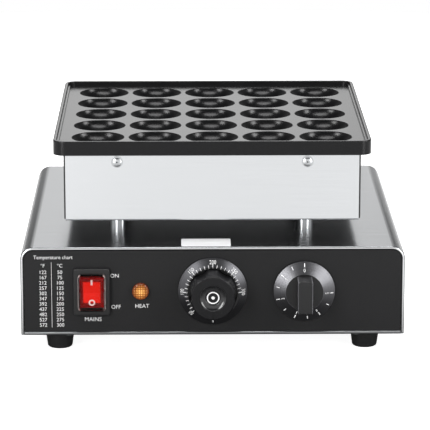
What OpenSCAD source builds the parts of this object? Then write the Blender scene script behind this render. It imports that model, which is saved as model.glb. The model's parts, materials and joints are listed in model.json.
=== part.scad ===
// Countertop mini pancake maker: a cast plate of round dimples on a heater case,
// carried by four columns above a folded sheet-metal base that holds the controls.
// Millimetres, +Z up, the controls face -Y, and the feet stand on z = 0.

/* [Baking plate] */
// Dimples along each side of the grid
dimple_n = 5; // [5:2:7]
// Diameter of a dimple at the baking surface
dimple_d = 45; // [40:0.5:46]
// Centre distance of neighbouring dimples
dimple_pitch = 48; // [47:0.5:54]
// Depth of a dimple
dimple_depth = 9; // [7:0.25:10]
// Diameter of the flat floor of a dimple
dimple_floor_d = 16; // [10:0.5:22]
// Radius of the rounded lip of a dimple
dimple_lip_r = 1; // [0.5:0.1:1.4]
// Surface left between the outer dimples and the plate's edge
plate_margin = 14; // [9:0.5:20]
// Height of the plate's outer wall
plate_wall_h = 12; // [10:0.5:18]
// Height of the rim above the baking surface
rim_h = 4; // [3:0.25:6]
// Width of the rim at its top
rim_w = 3; // [2.5:0.1:5]
// Height of the ledge inside the rim
ledge_h = 2; // [1:0.1:2.5]
// Width of the ledge inside the rim
ledge_w = 1.4; // [0.5:0.1:3]
// Radius of the rim's top edges
rim_round = 0.9; // [0.3:0.1:1.2]
// Outer corner radius of the plate
plate_corner_r = 10; // [7:0.5:16]
// How far the plate stands out past the heater case
plate_overhang = 8.5; // [5:0.5:12]
// Thickness of the slab that hangs inside the heater case
slab_t = 8; // [6:0.5:12]
// Gap between that slab and the case walls
slab_gap = 1.5; // [1.2:0.1:3]

/* [Heater case] */
// Height of the heater case
case_h = 57.6; // [54:0.2:80]
// Sheet thickness of the case
case_t = 1; // [0.8:0.1:1.2]
// Outer bend radius of the case floor
case_bend_r = 1.6; // [1.4:0.1:5]
// Seam between the folded case and its end panels
case_seam = 0.3; // [0.2:0.05:0.6]
// Width of the flanges on the end panels
end_flange_w = 12; // [8:0.5:18]
// Distance of the case screws from the case corners
case_screw_inset = 44.5; // [30:0.5:60]
// Distance of the case screws below the plate
case_screw_drop = 7.2; // [6:0.1:10]
// Shank diameter of the case screws
case_screw_d = 4; // [3:0.5:5]
// Head diameter of the case screws
case_head_d = 7.6; // [7:0.1:9]
// Head height of the case screws
case_head_h = 2.4; // [1.8:0.1:3.2]
// Washer diameter under the case screws
case_washer_d = 9.8; // [9.2:0.1:12]
// Washer thickness
case_washer_t = 0.8; // [0.5:0.1:1.4]
// Width of the cast lugs that take the case screws
lug_w = 16; // [12:0.5:22]
// Depth of those lugs
lug_depth = 12; // [9:0.5:16]

/* [Heaters] */
// Diameter of the heater tubes
heater_d = 8; // [6:0.5:9]
// Free space between the heater tubes and the edge of the slab
heater_end_gap = 10.5; // [6:0.5:16]
// Bend radius where the heater ends turn down
heater_drop_r = 12; // [9:0.5:14]
// Diameter of the terminal pins
heater_pin_d = 4; // [3:0.5:5]
// Length of the terminal pins
heater_pin_l = 8; // [6:0.5:10]
// Width of the clamp bars
clamp_w = 16; // [12:0.5:20]
// Thickness of the clamp bars
clamp_t = 2.5; // [2:0.25:4]
// Length of a clamp bar past the outer heater tube
clamp_end = 10; // [6:0.5:14]
// Diameter of the clamp screws
clamp_screw_d = 5; // [4:0.5:6]
// Thread depth of the clamp screws in the plate
clamp_thread = 7; // [5:0.5:8]
// Diameter of the thermostat bulb
bulb_d = 6; // [5:0.25:7]
// Length of the thermostat bulb
bulb_l = 70; // [50:1:90]
// Diameter of the capillary tube
capillary_d = 2; // [1.5:0.1:2.5]
// Bend radius of the capillary tube
capillary_bend_r = 5; // [4:0.25:6]
// Diameter of the heat-proof leads
lead_d = 2; // [1.6:0.1:2.4]
// Bend radius of the leads
lead_bend_r = 3; // [2.5:0.25:3.25]

/* [Columns] */
// Visible height of the columns between base and case
column_h = 15.7; // [12:0.5:30]
// Diameter of the columns
column_d = 15; // [13:0.5:18]
// Height of the collar at the top of a column
collar_h = 4; // [3:0.25:6]
// Diameter of the threaded column ends
column_end_d = 10; // [9:0.5:11]
// Length of each threaded end
column_end_l = 12; // [9:0.5:16]
// Wire passage through a column
column_bore_d = 6.5; // [5:0.25:7.5]
// Distance of the columns from the sides of the heater case
column_inset_x = 44.5; // [30:0.5:60]
// Distance of the columns from its front and back
column_inset_y = 49; // [30:0.5:60]

/* [Base] */
// Width of the base
base_w = 320; // [300:1:360]
// Depth of the base
base_d = 305; // [280:1:340]
// Height of the base without its feet
base_h = 75.7; // [70:0.5:95]
// Sheet thickness of the base
base_t = 1.4; // [0.8:0.1:1.5]
// Outer bend radius along the top edges
base_bend_r = 11; // [8:0.5:16]
// Depth of the folded hems
hem_w = 10; // [7:0.5:14]
// How far the panels sit behind the hems
panel_recess = 0.6; // [0.3:0.1:1.2]
// Gap round the panels
panel_gap = 0.2; // [0.1:0.05:0.5]
// Width of the fixing flanges
flange_w = 12; // [10:0.5:18]
// Width of a vent slot
vent_w = 4; // [3:0.5:5]
// Length of a vent slot
vent_l = 30; // [20:1:40]
// Number of vent slots
vent_n = 8; // [4:1:10]
// Centre distance of the vent slots
vent_pitch = 10; // [8:0.5:12]

/* [Feet] */
// Height of the feet
foot_h = 17; // [13:0.5:25]
// Diameter of a foot at the base
foot_top_d = 25.2; // [20:0.2:28]
// Diameter of a foot at the floor
foot_low_d = 20.6; // [18:0.2:24]
// Radius of a foot's bottom edge
foot_edge_r = 2; // [1:0.25:2.5]
// Distance of the feet from the base's sides
foot_inset_x = 31.2; // [26:0.2:45]
// Distance of the feet from the base's front and back
foot_inset_y = 27.5; // [22:0.5:45]

/* [Controls] */
// Height of the controls above the floor of the base
control_h = 38; // [36:0.5:42]
// Place of the switch, from the middle of the panel
switch_x = -100.6; // [-110:0.2:-90]
// Place of the lamp
lamp_x = -60.1; // [-66:0.1:-54]
// Place of the thermostat
thermostat_x = 0; // [-10:0.5:10]
// Place of the timer
timer_x = 76.2; // [64:0.2:90]
// Width of the splash frame round the switch
splash_w = 30; // [29.6:0.2:34]
// Height of the splash frame
splash_h = 40; // [37:0.2:44]
// Thickness of the splash frame
splash_t = 4.5; // [3.5:0.25:6]
// How far the splash cap stands out of the panel
cap_reach = 8.4; // [8.2:0.1:12]
// Wall of the splash cap
cap_wall = 0.9; // [0.7:0.1:1]
// Width of the rocker
rocker_w = 20; // [16:0.2:20.2]
// Half height of the rocker
rocker_half = 13; // [11:0.25:13.2]
// Tilt of the rocker each way
rocker_tilt = 10; // [6:1:12]
// Diameter of the rocker's pivot pins
rocker_pin_d = 3; // [2:0.25:4]
// Diameter of the lamp lens
lamp_d = 14; // [13:0.2:18]
// Diameter of the lamp body
lamp_body_d = 11.6; // [9:0.2:12]
// Diameter of the thermostat's scale ring
ring_d = 57.4; // [54:0.2:62]
// Height of the scale ring
ring_h = 6; // [5:0.25:8]
// Diameter of the thermostat knob
thermostat_knob_d = 40; // [36:0.2:42]
// Reach of the thermostat knob in front of the panel
thermostat_reach = 24.5; // [22:0.25:30]
// Flutes round the thermostat knob
flute_n = 6; // [4:1:8]
// Radius of a flute
flute_r = 14; // [10:0.5:16]
// Depth of a flute
flute_depth = 2.5; // [1:0.1:3]
// Diameter of the dish in the knob's front
dish_d = 22.5; // [16:0.5:25]
// Diameter of the timer knob's skirt
timer_d = 51; // [48:0.5:56]
// Diameter of the timer knob's face
timer_face_d = 31.2; // [29:0.2:34]
// Reach of the timer knob's face in front of the panel
timer_face_h = 7.5; // [6.5:0.25:10]
// Reach of the timer knob's grip in front of the panel
timer_reach = 25; // [20:0.25:30]
// Width of the timer knob's grip
grip_w = 12.6; // [11:0.2:15]
// Length of the timer knob's grip
grip_l = 28; // [25:0.2:29]
// Diameter of both spindles
spindle_d = 6; // [5:0.25:7]

/* [Cable entry] */
// Distance of the cable gland from the base's side
gland_inset = 55; // [40:1:70]
// Height of the cable gland above the floor of the base
gland_h = 34; // [28:0.5:45]
// Cable passage through the gland
gland_bore_d = 8.4; // [6:0.2:9]
// Diameter of the gland's thread
gland_thread_d = 15.2; // [14:0.2:18]
// Reach of the gland behind the back panel
gland_reach = 20; // [16:0.5:26]

/* [Hidden] */
$fn = 64;
cut = 1;               // how far a cutting tool runs past a face
fit = 0.05;            // running and thread clearance on a radius
loose = 0.25;          // clearance hole on a radius
seat = 0.2;            // pieces that rest without being clamped flat
thread_over = 1;       // free thread past the end of a screw
screw_over = 4;        // reach of a sheet screw past the sheets that it holds
edge_r = 1;            // rounded front edges of the moulded pieces
steel = "#C9CBCD";
dark_steel = "#8D9093";
black = "#262627";

// Heights above the floor
base_z = foot_h;
base_top = base_z + base_h;
case_z = base_top + column_h;
case_top = case_z + case_h;
deck_z = case_top + plate_wall_h - rim_h;
slab_z = case_top - slab_t;
control_z = base_z + control_h;

// Plan sizes
grid = (dimple_n - 1) * dimple_pitch;
plate_side = grid + dimple_d + 2 * plate_margin;
case_side = plate_side - 2 * plate_overhang;
case_in = case_side / 2 - case_t;
slab_side = 2 * (case_in - slab_gap);
fold_w = case_side - 2 * case_t - 2 * case_seam;
hem_t = 2 * base_t;
column_x = case_side / 2 - column_inset_x;
column_y = case_side / 2 - column_inset_y;
foot_x = base_w / 2 - foot_inset_x;
foot_y = base_d / 2 - foot_inset_y;
panel_y = base_d / 2 - panel_recess;
panel_back = panel_y - base_t;
panel_w = base_w - 2 * hem_t - 2 * panel_gap;
panel_z = base_z + hem_t;
panel_top = base_top - hem_t - panel_gap;
panel_r = base_bend_r - hem_t - panel_gap;

// The frame's origin is midway between the foremost grip and the gland's end
front_reach = panel_y + max(timer_reach, thermostat_reach);
back_reach = panel_y + gland_reach;
frame_dy = (front_reach - back_reach) / 2;

// Dimple: flat floor, one arc for the side, one for the lip
dimple_r = dimple_d / 2;
floor_r = dimple_floor_d / 2;
side_r = (pow(dimple_r - floor_r, 2) + pow(dimple_depth, 2)) / (2 * dimple_depth) - dimple_lip_r;
side_up = side_r - dimple_depth;
lip_z = side_up - (side_up + dimple_lip_r) * side_r / (side_r + dimple_lip_r);

// Heaters: one hairpin on each side of the middle row
heater_in = dimple_pitch / 2;
heater_out = 3 * dimple_pitch / 2;
heater_z = slab_z - seat - heater_d / 2;
heater_far = slab_side / 2 - heater_end_gap - heater_d / 2;
hairpin_x = heater_far - dimple_pitch / 2;
heater_drop_x = heater_far - heater_drop_r;
heater_pin_end = case_z + column_end_l + 2 * lead_bend_r + lead_d;
heater_pin_top = heater_pin_end + heater_pin_l;
clamp_x = (dimple_n - 2) / 2 * dimple_pitch;
clamp_y = (dimple_n - 3) / 2 * dimple_pitch;
clamp_top = heater_z - heater_d / 2 - seat;
clamp_l = 2 * (heater_out + heater_d / 2 + clamp_end);
clamp_head_d = 9;
clamp_head_h = 3.5;
clamp_screw_l = clamp_t + slab_z - clamp_top + clamp_thread;
bulb_z = slab_z - seat - bulb_d / 2;
clip_t = 1;
clip_w = 10;
clip_flange = 18;
clip_screw_y = 12;
clip_screw_d = 3;
clip_head_d = 6;
clip_head_h = 1.5;
clip_thread = 4;
lug_floor = 2;
case_screw_x = case_side / 2 - case_screw_inset;
case_screw_l = case_washer_t + case_t + seat + lug_depth - lug_floor - thread_over;

// Fasteners inside the housings
column_nut_af = 1.7 * column_end_d;
column_nut_h = 5;
small_screw_d = 4;
small_head_d = 7.4;
small_head_h = 2.2;
foot_screw_d = 5;
foot_head_d = 9;
foot_head_h = 3.5;
foot_web = 6;
foot_bore_gap = 1;
foot_bore_d = foot_head_d + 2 * foot_bore_gap;
foot_nut_h = 4;
foot_nut_af = 8;
foot_screw_over = 2;
foot_screw_l = foot_web + base_t + foot_nut_h + foot_screw_over;
foot_round = 1;
collar_groove = 0.4;

// Switch, lamp, dials
pivot_h = -1;
rocker_rim = 5.5;
rocker_dip = 3.8;
rocker_root = 6;
rocker_root_half = 4;
rocker_skirt = 1;
rocker_pin_l = 1.2;
rocker_gap = 0.3;
rocker_sweep = norm([rocker_half, rocker_rim]);
pocket_w = rocker_w + 2 * rocker_gap;
pocket_h = 2 * (rocker_sweep + rocker_gap);
pocket_floor = 2;
pocket_depth = rocker_root + rocker_gap - pivot_h + pocket_floor;
switch_wall = 1.5;
switch_body_w = pocket_w + 2 * switch_wall;
switch_body_h = pocket_h + 2 * switch_wall;
switch_depth = 22;
switch_flange = 2;
switch_flange_t = 1.6;
switch_face_w = switch_body_w + 2 * switch_flange;
switch_face_h = switch_body_h + 2 * switch_flange;
cap_flange_t = 0.8;
cap_side = 0.6;
cap_in_w = rocker_w + 2 * cap_side;
cap_in_h = pocket_h + 2 * rocker_gap;
cap_w = cap_in_w + 2 * cap_wall;
cap_h = cap_in_h + 2 * cap_wall;
cap_r = 3;
splash_r = 2;
blade_w = 6.3;
blade_t = 0.8;
blade_l = 9;
blade_root = 3;
blade_x = switch_body_w / 4;
blade_z = switch_body_h / 4;
blade_end = panel_y - switch_depth - blade_l - seat;
lamp_dome = 3.6;
lamp_groove = 0.5;
lamp_groove_pitch = 2;
lamp_len = 22;
lamp_nut_af = 16;
lamp_nut_h = 4;
ring_floor = 1.5;
ring_edge = 1.5;
ring_lip = 1.4;
knob_gap = 0.6;
knob_base = ring_floor + small_head_h + knob_gap;
hub_base = small_head_h + knob_gap;
knob_taper = 1.2;
knob_round = 1.2;
dish_depth = 2.2;
dish_slope = 1.6;
bush_d = 10;
dial_screw_pitch = 28;
dial_plate_t = 1.5;
dial_plate_h = 38;
dial_corner_r = 3;
dial_thread = 3;
dial_body_w = 38;
dial_body_h = 46;
dial_body_l = 28;
timer_plate_w = 40;
timer_body_d = 44;
timer_body_l = 30;
spindle_back = 12;
spindle_front = 18;
spindle_flat = 0.75;
skirt_gap = 1;
skirt_edge = 1.2;
skirt_wall = 2;
grip_corner_r = 1.5;
hub_wall = 3;
pointer_w = 1;
pointer_depth = 0.5;
pointer_gap = 1.5;

// Cable entry and inside of the base
gland_af = 22;
gland_hex_h = 5;
gland_thread_l = 12;
gland_tip_d = 15;
gland_step = 1;
gland_x = base_w / 2 - gland_inset;
gland_z = base_z + gland_h;
block_inset = 98;
block_back = 82.5;
block_x = base_w / 2 - block_inset;
block_y = base_d / 2 - block_back;
block_w = 50;
block_d = 22;
block_h = 18;
block_feet = 3;
block_pole_pitch = 12;
block_pole_d = 4;
block_pole_drop = 6;
block_pole_z = base_z + base_t + block_h - block_pole_drop;
block_screw_pitch = 40;
block_screw_over = 1;
stud_inset = 48;
stud_x = base_w / 2 - stud_inset;
stud_y = block_y;
stud_d = 5;
stud_l = 16;
stud_under = 2;
stud_nut_af = 8;
stud_nut_h = 4;
cover_screw_inset = 52.5;
cover_screw_y = base_d / 2 - cover_screw_inset;
panel_screw_inset = 40;
panel_screw_x = base_w / 2 - panel_screw_inset;

// Capillary tube and leads
works_back = panel_back - dial_plate_t - dial_body_l;
capillary_z = case_z + column_end_l + capillary_bend_r + capillary_d;
capillary_drop_x = column_x + 2 * capillary_bend_r + capillary_d;
lead_z = heater_pin_end - lead_bend_r - lead_d / 2;
lead_side = column_bore_d / 4;
lead_loop = 15;
lead_grip = 4;
lead_level = 4;
lead_lane = 6;
tag_pitch = 4;
capillary_low = control_z + 3 * lead_level;
live_front_z = control_z + 4 * lead_level;
live_back_z = control_z - 2 * lead_level;
neutral_z = control_z - 3 * lead_level;
lamp_low = control_z - 4 * lead_level;
block_front = block_y - block_d / 2;
lead_step_y = block_front - lead_loop;

// Moves the model so that its origin lies midway between its front and back ends
module framed() {
    translate([0, frame_dy, 0]) children();
}

// Local frame on the front panel: x right, y up, z out towards the user
module on_panel(x, z = control_z) {
    translate([x, -panel_y, z]) rotate([90, 0, 0]) children();
}

// Local frame on the back panel: z points out of the back
module on_back(x, z) {
    translate([x, panel_y, z]) rotate([-90, 0, 0]) children();
}

module at_corners(x, y) {
    for (sx = [-1, 1], sy = [-1, 1])
        translate([sx * x, sy * y, 0]) children();
}

// Extrudes a section drawn in (y, z) along x, centred
module along_x(length) {
    rotate([90, 0, 90]) linear_extrude(length, center = true) children();
}

// Extrudes an outline drawn in (x, z) from y0 to y1
module along_y(y0, y1) {
    translate([0, y1, 0]) rotate([90, 0, 0]) linear_extrude(y1 - y0) children();
}

module rounded_rect(w, h, r) {
    square([w - 2 * r, h], center = true);
    square([w, h - 2 * r], center = true);
    for (sx = [-1, 1], sy = [-1, 1])
        translate([sx * (w / 2 - r), sy * (h / 2 - r)]) circle(r);
}

module hex(af, h) {
    cylinder(d = af / cos(30), h = h, $fn = 6);
}

module hex_nut(af, h, bore_d) {
    difference() {
        hex(af, h);
        translate([0, 0, -cut]) cylinder(d = bore_d, h = h + 2 * cut);
    }
}

// Pan-head screw: the head stands on z = 0 and the shank points down
module pan_screw(shank_d, shank_l, head_d, head_h) {
    translate([0, 0, -shank_l]) cylinder(d = shank_d, h = shank_l);
    rotate_extrude() {
        square([head_d / 2, head_h / 2]);
        square([head_d / 2 - head_h / 2, head_h]);
        intersection() {
            translate([head_d / 2 - head_h / 2, head_h / 2]) circle(head_h / 2);
            square([head_d / 2, head_h]);
        }
    }
}

// Sweeps a section round a rounded rectangle: x = distance in from the outside, y = height
module swept_round(w, h, r) {
    for (k = [0 : 3]) {
        run = (k % 2 == 0 ? w : h) - 2 * r;
        out = (k % 2 == 0 ? h : w) / 2;
        rotate(90 * k) {
            translate([0, -out, 0]) along_x(run) children();
            translate([run / 2, r - out, 0])
                rotate(-90)
                    rotate_extrude(angle = 90) translate([r, 0]) mirror([1, 0]) children();
        }
    }
}

// Upright block with round corners and a rounded front edge
module moulded_block(w, h, r, reach) {
    linear_extrude(reach) rounded_rect(w - 2 * edge_r, h - 2 * edge_r, r - edge_r);
    swept_round(w, h, r) {
        square([edge_r, reach - edge_r]);
        translate([edge_r, reach - edge_r])
            intersection() {
                circle(edge_r);
                translate([-edge_r, 0]) square(edge_r);
            }
    }
}

// Round bar with bent corners through points that step along one axis at a time
module bent_bar(points, d, bend_r) {
    last = len(points) - 1;
    for (i = [0 : last - 1]) {
        way = points[i + 1] - points[i];
        dir = way / norm(way);
        from = i == 0 ? 0 : bend_r;
        to = i == last - 1 ? norm(way) : norm(way) - bend_r;
        side = [dir.y, dir.z, dir.x];
        third = cross(dir, side);
        multmatrix([
            [side.x, third.x, dir.x, points[i].x + from * dir.x],
            [side.y, third.y, dir.y, points[i].y + from * dir.y],
            [side.z, third.z, dir.z, points[i].z + from * dir.z],
            [0, 0, 0, 1]
        ])
            cylinder(d = d, h = to - from);
    }
    for (i = [1 : last - 1]) {
        before = points[i] - points[i - 1];
        after = points[i + 1] - points[i];
        a = before / norm(before);
        b = after / norm(after);
        up = cross(a, b);
        hub = points[i] + bend_r * (b - a);
        multmatrix([
            [-b.x, a.x, up.x * -1, hub.x],
            [-b.y, a.y, up.y * -1, hub.y],
            [-b.z, a.z, up.z * -1, hub.z],
            [0, 0, 0, 1]
        ])
            rotate_extrude(angle = 90) translate([bend_r, 0]) circle(d = d);
    }
}

// Section of one dimple: radius to the right, height above the baking surface upwards
module dimple_section() {
    translate([0, -dimple_depth]) square([floor_r, dimple_depth]);
    intersection() {
        translate([floor_r, side_up]) circle(side_r);
        translate([0, -dimple_depth]) square([dimple_r, dimple_depth + lip_z]);
    }
    difference() {
        translate([0, lip_z]) square([dimple_r, cut - lip_z]);
        translate([dimple_r, -dimple_lip_r]) circle(dimple_lip_r);
    }
}

// Section of the plate's wall: distance in from the outside, height above the plate's underside
module rim_section() {
    deck = plate_wall_h - rim_h;
    square([rim_w, plate_wall_h - rim_round]);
    translate([rim_round, 0]) square([rim_w - 2 * rim_round, plate_wall_h]);
    for (x = [rim_round, rim_w - rim_round])
        translate([x, plate_wall_h - rim_round]) circle(rim_round);
    square([rim_w + ledge_w, deck + ledge_h]);
}

module baking_plate() {
    inner = plate_side - 2 * (rim_w + ledge_w);
    color(black)
    difference() {
        union() {
            translate([0, 0, case_top])
                linear_extrude(deck_z - case_top)
                    rounded_rect(inner, inner, plate_corner_r - rim_w - ledge_w);
            translate([0, 0, case_top])
                swept_round(plate_side, plate_side, plate_corner_r) rim_section();
            translate([-slab_side / 2, -slab_side / 2, slab_z])
                cube([slab_side, slab_side, slab_t + cut]);
            for (sx = [-1, 1], sy = [-1, 1])
                translate([
                    sx * case_screw_x - lug_w / 2,
                    sy * (case_in - seat - lug_depth / 2) - lug_depth / 2,
                    case_top - case_screw_drop - lug_w / 2
                ])
                    cube([lug_w, lug_depth, case_screw_drop + lug_w / 2 + cut]);
        }
        for (i = [0 : dimple_n - 1], j = [0 : dimple_n - 1])
            translate([i * dimple_pitch - grid / 2, j * dimple_pitch - grid / 2, deck_z])
                rotate_extrude() dimple_section();
        case_screw_places(case_in + cut)
            cylinder(d = case_screw_d + 2 * fit, h = cut + seat + lug_depth - lug_floor);
        at_corners(clamp_x, clamp_y)
            translate([0, 0, slab_z - cut])
                cylinder(d = clamp_screw_d + 2 * fit, h = clamp_thread + thread_over + cut);
        translate([0, clip_screw_y, slab_z - cut])
            cylinder(d = clip_screw_d + 2 * fit, h = clip_thread + thread_over + cut);
    }
}

// Case screw axes; local z points into the case from a start on both faces
module case_screw_places(start) {
    for (sx = [-1, 1], sy = [-1, 1])
        translate([sx * case_screw_x, sy * start, case_top - case_screw_drop])
            rotate([90 * sy, 0, 0]) children();
}

// Outline of a tray in (y, z) that stands on z = 0, with round lower corners
module tray(half, h, r) {
    translate([-half, r]) square([2 * half, h - r]);
    translate([r - half, 0]) square([2 * (half - r), r]);
    for (s = [-1, 1])
        translate([s * (half - r), r]) circle(r);
}

// Folded sheet in (y, z): front wall, floor and back wall in one piece
module case_fold() {
    difference() {
        tray(case_side / 2, case_h, case_bend_r);
        translate([0, case_t]) tray(case_in, case_h, case_bend_r - case_t);
    }
}

module heater_case() {
    color("#DCDEE0")
    difference() {
        translate([0, 0, case_z]) along_x(fold_w) case_fold();
        at_corners(column_x, column_y)
            translate([0, 0, case_z - cut]) cylinder(d = column_end_d + 2 * loose, h = case_t + 2 * cut);
        case_screw_places(case_side / 2 + cut)
            cylinder(d = case_screw_d + 2 * loose, h = case_t + 2 * cut);
    }
}

// End panel with flanges that lie behind the folded walls and on the floor
module end_panel(side) {
    x_out = case_side / 2;
    y_in = case_in - panel_gap;
    low = case_z + case_t;
    corner = case_bend_r;
    color("#D2D4D6")
    mirror([side < 0 ? 1 : 0, 0, 0]) {
        translate([x_out - case_t, -x_out, low + corner])
            cube([case_t, 2 * x_out, case_h - case_t - corner]);
        translate([x_out - case_t, -y_in + corner, low]) cube([case_t, 2 * (y_in - corner), corner]);
        for (s = [-1, 1])
            translate([x_out - end_flange_w, s * (y_in - case_t / 2) - case_t / 2, low + corner])
                cube([end_flange_w, case_t, case_h - case_t - corner]);
        translate([x_out - end_flange_w, -y_in + corner, low])
            cube([end_flange_w, 2 * (y_in - corner), case_t]);
    }
}

module case_screws() {
    color(steel)
    case_screw_places(case_side / 2 + case_washer_t)
        rotate([180, 0, 0])
            pan_screw(case_screw_d, case_screw_l, case_head_d, case_head_h);
}

module case_washers() {
    color(steel)
    case_screw_places(case_side / 2 + case_washer_t)
        difference() {
            cylinder(d = case_washer_d, h = case_washer_t);
            translate([0, 0, -cut]) cylinder(d = case_screw_d + 2 * loose, h = case_washer_t + 2 * cut);
        }
}

// Hairpin heater with both ends turned down; side -1 is the front one
module heating_element(side) {
    color("#5A5552")
    mirror([0, side < 0 ? 1 : 0, 0]) {
        for (y = [heater_in, heater_out]) {
            translate([-heater_drop_x, y, heater_z])
                rotate([0, 90, 0]) cylinder(d = heater_d, h = heater_drop_x + hairpin_x);
            translate([-heater_drop_x, y, heater_z - heater_drop_r])
                rotate([90, 0, 180])
                    rotate_extrude(angle = 90) translate([heater_drop_r, 0]) circle(d = heater_d);
            translate([-heater_far, y, heater_pin_top])
                cylinder(d = heater_d, h = heater_z - heater_drop_r - heater_pin_top);
            translate([-heater_far, y, heater_pin_end]) cylinder(d = heater_pin_d, h = heater_pin_l);
        }
        translate([hairpin_x, (heater_in + heater_out) / 2, heater_z])
            rotate(-90)
                rotate_extrude(angle = 180)
                    translate([(heater_out - heater_in) / 2, 0]) circle(d = heater_d);
    }
}

module clamp_bar(side) {
    color(dark_steel)
    difference() {
        translate([side * clamp_x, 0, clamp_top - clamp_t])
            linear_extrude(clamp_t) rounded_rect(clamp_w, clamp_l, clamp_w / 4);
        at_corners(clamp_x, clamp_y)
            translate([0, 0, clamp_top - clamp_t - cut])
                cylinder(d = clamp_screw_d + 2 * loose, h = clamp_t + 2 * cut);
    }
}

module clamp_screws() {
    color(steel)
    at_corners(clamp_x, clamp_y)
        translate([0, 0, clamp_top - clamp_t])
            rotate([180, 0, 0])
                pan_screw(clamp_screw_d, clamp_screw_l, clamp_head_d, clamp_head_h);
}

module thermostat_bulb() {
    color("#B4744A")
    translate([-bulb_l / 2, 0, bulb_z]) rotate([0, 90, 0]) cylinder(d = bulb_d, h = bulb_l);
}

module bulb_clip() {
    r = bulb_d / 2 + fit;
    color(dark_steel)
    difference() {
        along_x(clip_w) {
            difference() {
                union() {
                    translate([0, bulb_z]) circle(r + clip_t);
                    translate([-r - clip_t, bulb_z]) square([2 * (r + clip_t), slab_z - bulb_z]);
                }
                translate([0, bulb_z]) circle(r);
                translate([-r, bulb_z]) square([2 * r, slab_z - bulb_z + cut]);
            }
            translate([r, slab_z - clip_t]) square([clip_flange - r, clip_t]);
        }
        translate([0, clip_screw_y, slab_z - clip_t - cut])
            cylinder(d = clip_screw_d + 2 * loose, h = clip_t + 2 * cut);
    }
}

module bulb_clip_screw() {
    color(steel)
    translate([0, clip_screw_y, slab_z - clip_t])
        rotate([180, 0, 0]) pan_screw(clip_screw_d, clip_t + clip_thread, clip_head_d, clip_head_h);
}

// Places across the back of the thermostat, and lanes behind it, for what leads to it
function tag_x(k) = thermostat_x + k * tag_pitch;
function lane_y(k) = k * lead_lane - works_back;

// From the bulb, down through the back right column and forward to the thermostat
module capillary_tube() {
    color("#B4744A")
    bent_bar([
        [bulb_l / 2, 0, bulb_z],
        [capillary_drop_x, 0, bulb_z],
        [capillary_drop_x, 0, capillary_z],
        [capillary_drop_x, column_y, capillary_z],
        [column_x, column_y, capillary_z],
        [column_x, column_y, capillary_low],
        [tag_x(2), column_y, capillary_low],
        [tag_x(2), -works_back, capillary_low]
    ], capillary_d, capillary_bend_r);
}

// From the outer pin of a heater into its left column; side -1 is the front
function outer_lead(side) = [
    [-heater_far, side * heater_out, heater_pin_end],
    [-heater_far, side * heater_out, lead_z],
    [-heater_far, side * (column_y + lead_loop), lead_z],
    [-column_x, side * (column_y + lead_loop), lead_z],
    [-column_x, side * (column_y + lead_side), lead_z]
];

// From the inner pin of a heater into the same column
function inner_lead(side) = [
    [-heater_far, side * heater_in, heater_pin_end],
    [-heater_far, side * heater_in, lead_z],
    [-column_x, side * heater_in, lead_z],
    [-column_x, side * (column_y - lead_side), lead_z]
];

// Live leads to the back of the thermostat, neutral leads to the terminal block
module heater_leads() {
    outer_y = column_y + lead_side;
    inner_y = column_y - lead_side;
    color("#C8BFA8") {
        bent_bar(concat(outer_lead(-1), [
            [-column_x, -outer_y, live_front_z],
            [tag_x(-2), -outer_y, live_front_z],
            [tag_x(-2), -works_back, live_front_z]
        ]), lead_d, lead_bend_r);
        bent_bar(concat(inner_lead(1), [
            [-column_x, inner_y, live_back_z],
            [tag_x(0), inner_y, live_back_z],
            [tag_x(0), -works_back, live_back_z]
        ]), lead_d, lead_bend_r);
        bent_bar(concat(inner_lead(-1), [
            [-column_x, -inner_y, neutral_z],
            [block_x, -inner_y, neutral_z],
            [block_x, lead_step_y, neutral_z],
            [block_x, lead_step_y, block_pole_z],
            [block_x, block_front + lead_grip, block_pole_z]
        ]), lead_d, lead_bend_r);
        bent_bar(concat(outer_lead(1), [
            [-column_x, outer_y, block_pole_z],
            [-column_x, outer_y + lead_loop, block_pole_z],
            [block_x, outer_y + lead_loop, block_pole_z],
            [block_x, block_y + block_d / 2 - lead_grip, block_pole_z]
        ]), lead_d, lead_bend_r);
    }
}

// Terminal block to switch, and switch to thermostat
module switch_leads() {
    color("#8A4A36") {
        bent_bar([
            [block_x - block_pole_pitch, block_front + lead_grip, block_pole_z],
            [block_x - block_pole_pitch, lead_loop - column_y, block_pole_z],
            [switch_x - blade_x, lead_loop - column_y, block_pole_z],
            [switch_x - blade_x, lead_loop - column_y, control_z + blade_z],
            [switch_x - blade_x, -blade_end, control_z + blade_z]
        ], lead_d, lead_bend_r);
        bent_bar([
            [switch_x + blade_x, -blade_end, control_z + blade_z],
            [switch_x + blade_x, lane_y(4), control_z + blade_z],
            [tag_x(-1), lane_y(4), control_z + blade_z],
            [tag_x(-1), -works_back, control_z + blade_z]
        ], lead_d, lead_bend_r);
    }
}

// Lamp to thermostat, and lamp to terminal block
module lamp_leads() {
    lamp_back = panel_y - lamp_len;
    color("#8A4A36") {
        bent_bar([
            [lamp_x + lead_d, -lamp_back, control_z],
            [lamp_x + lead_d, lane_y(2), control_z],
            [tag_x(-3), lane_y(2), control_z],
            [tag_x(-3), -works_back, control_z]
        ], lead_d, lead_bend_r);
        bent_bar([
            [lamp_x - lead_d, -lamp_back, control_z],
            [lamp_x - lead_d, lane_y(3), control_z],
            [lamp_x - lead_d, lane_y(3), lamp_low],
            [block_x + block_pole_pitch, lane_y(3), lamp_low],
            [block_x + block_pole_pitch, lead_step_y, lamp_low],
            [block_x + block_pole_pitch, lead_step_y, block_pole_z],
            [block_x + block_pole_pitch, block_front + lead_grip, block_pole_z]
        ], lead_d, lead_bend_r);
    }
}

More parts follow.
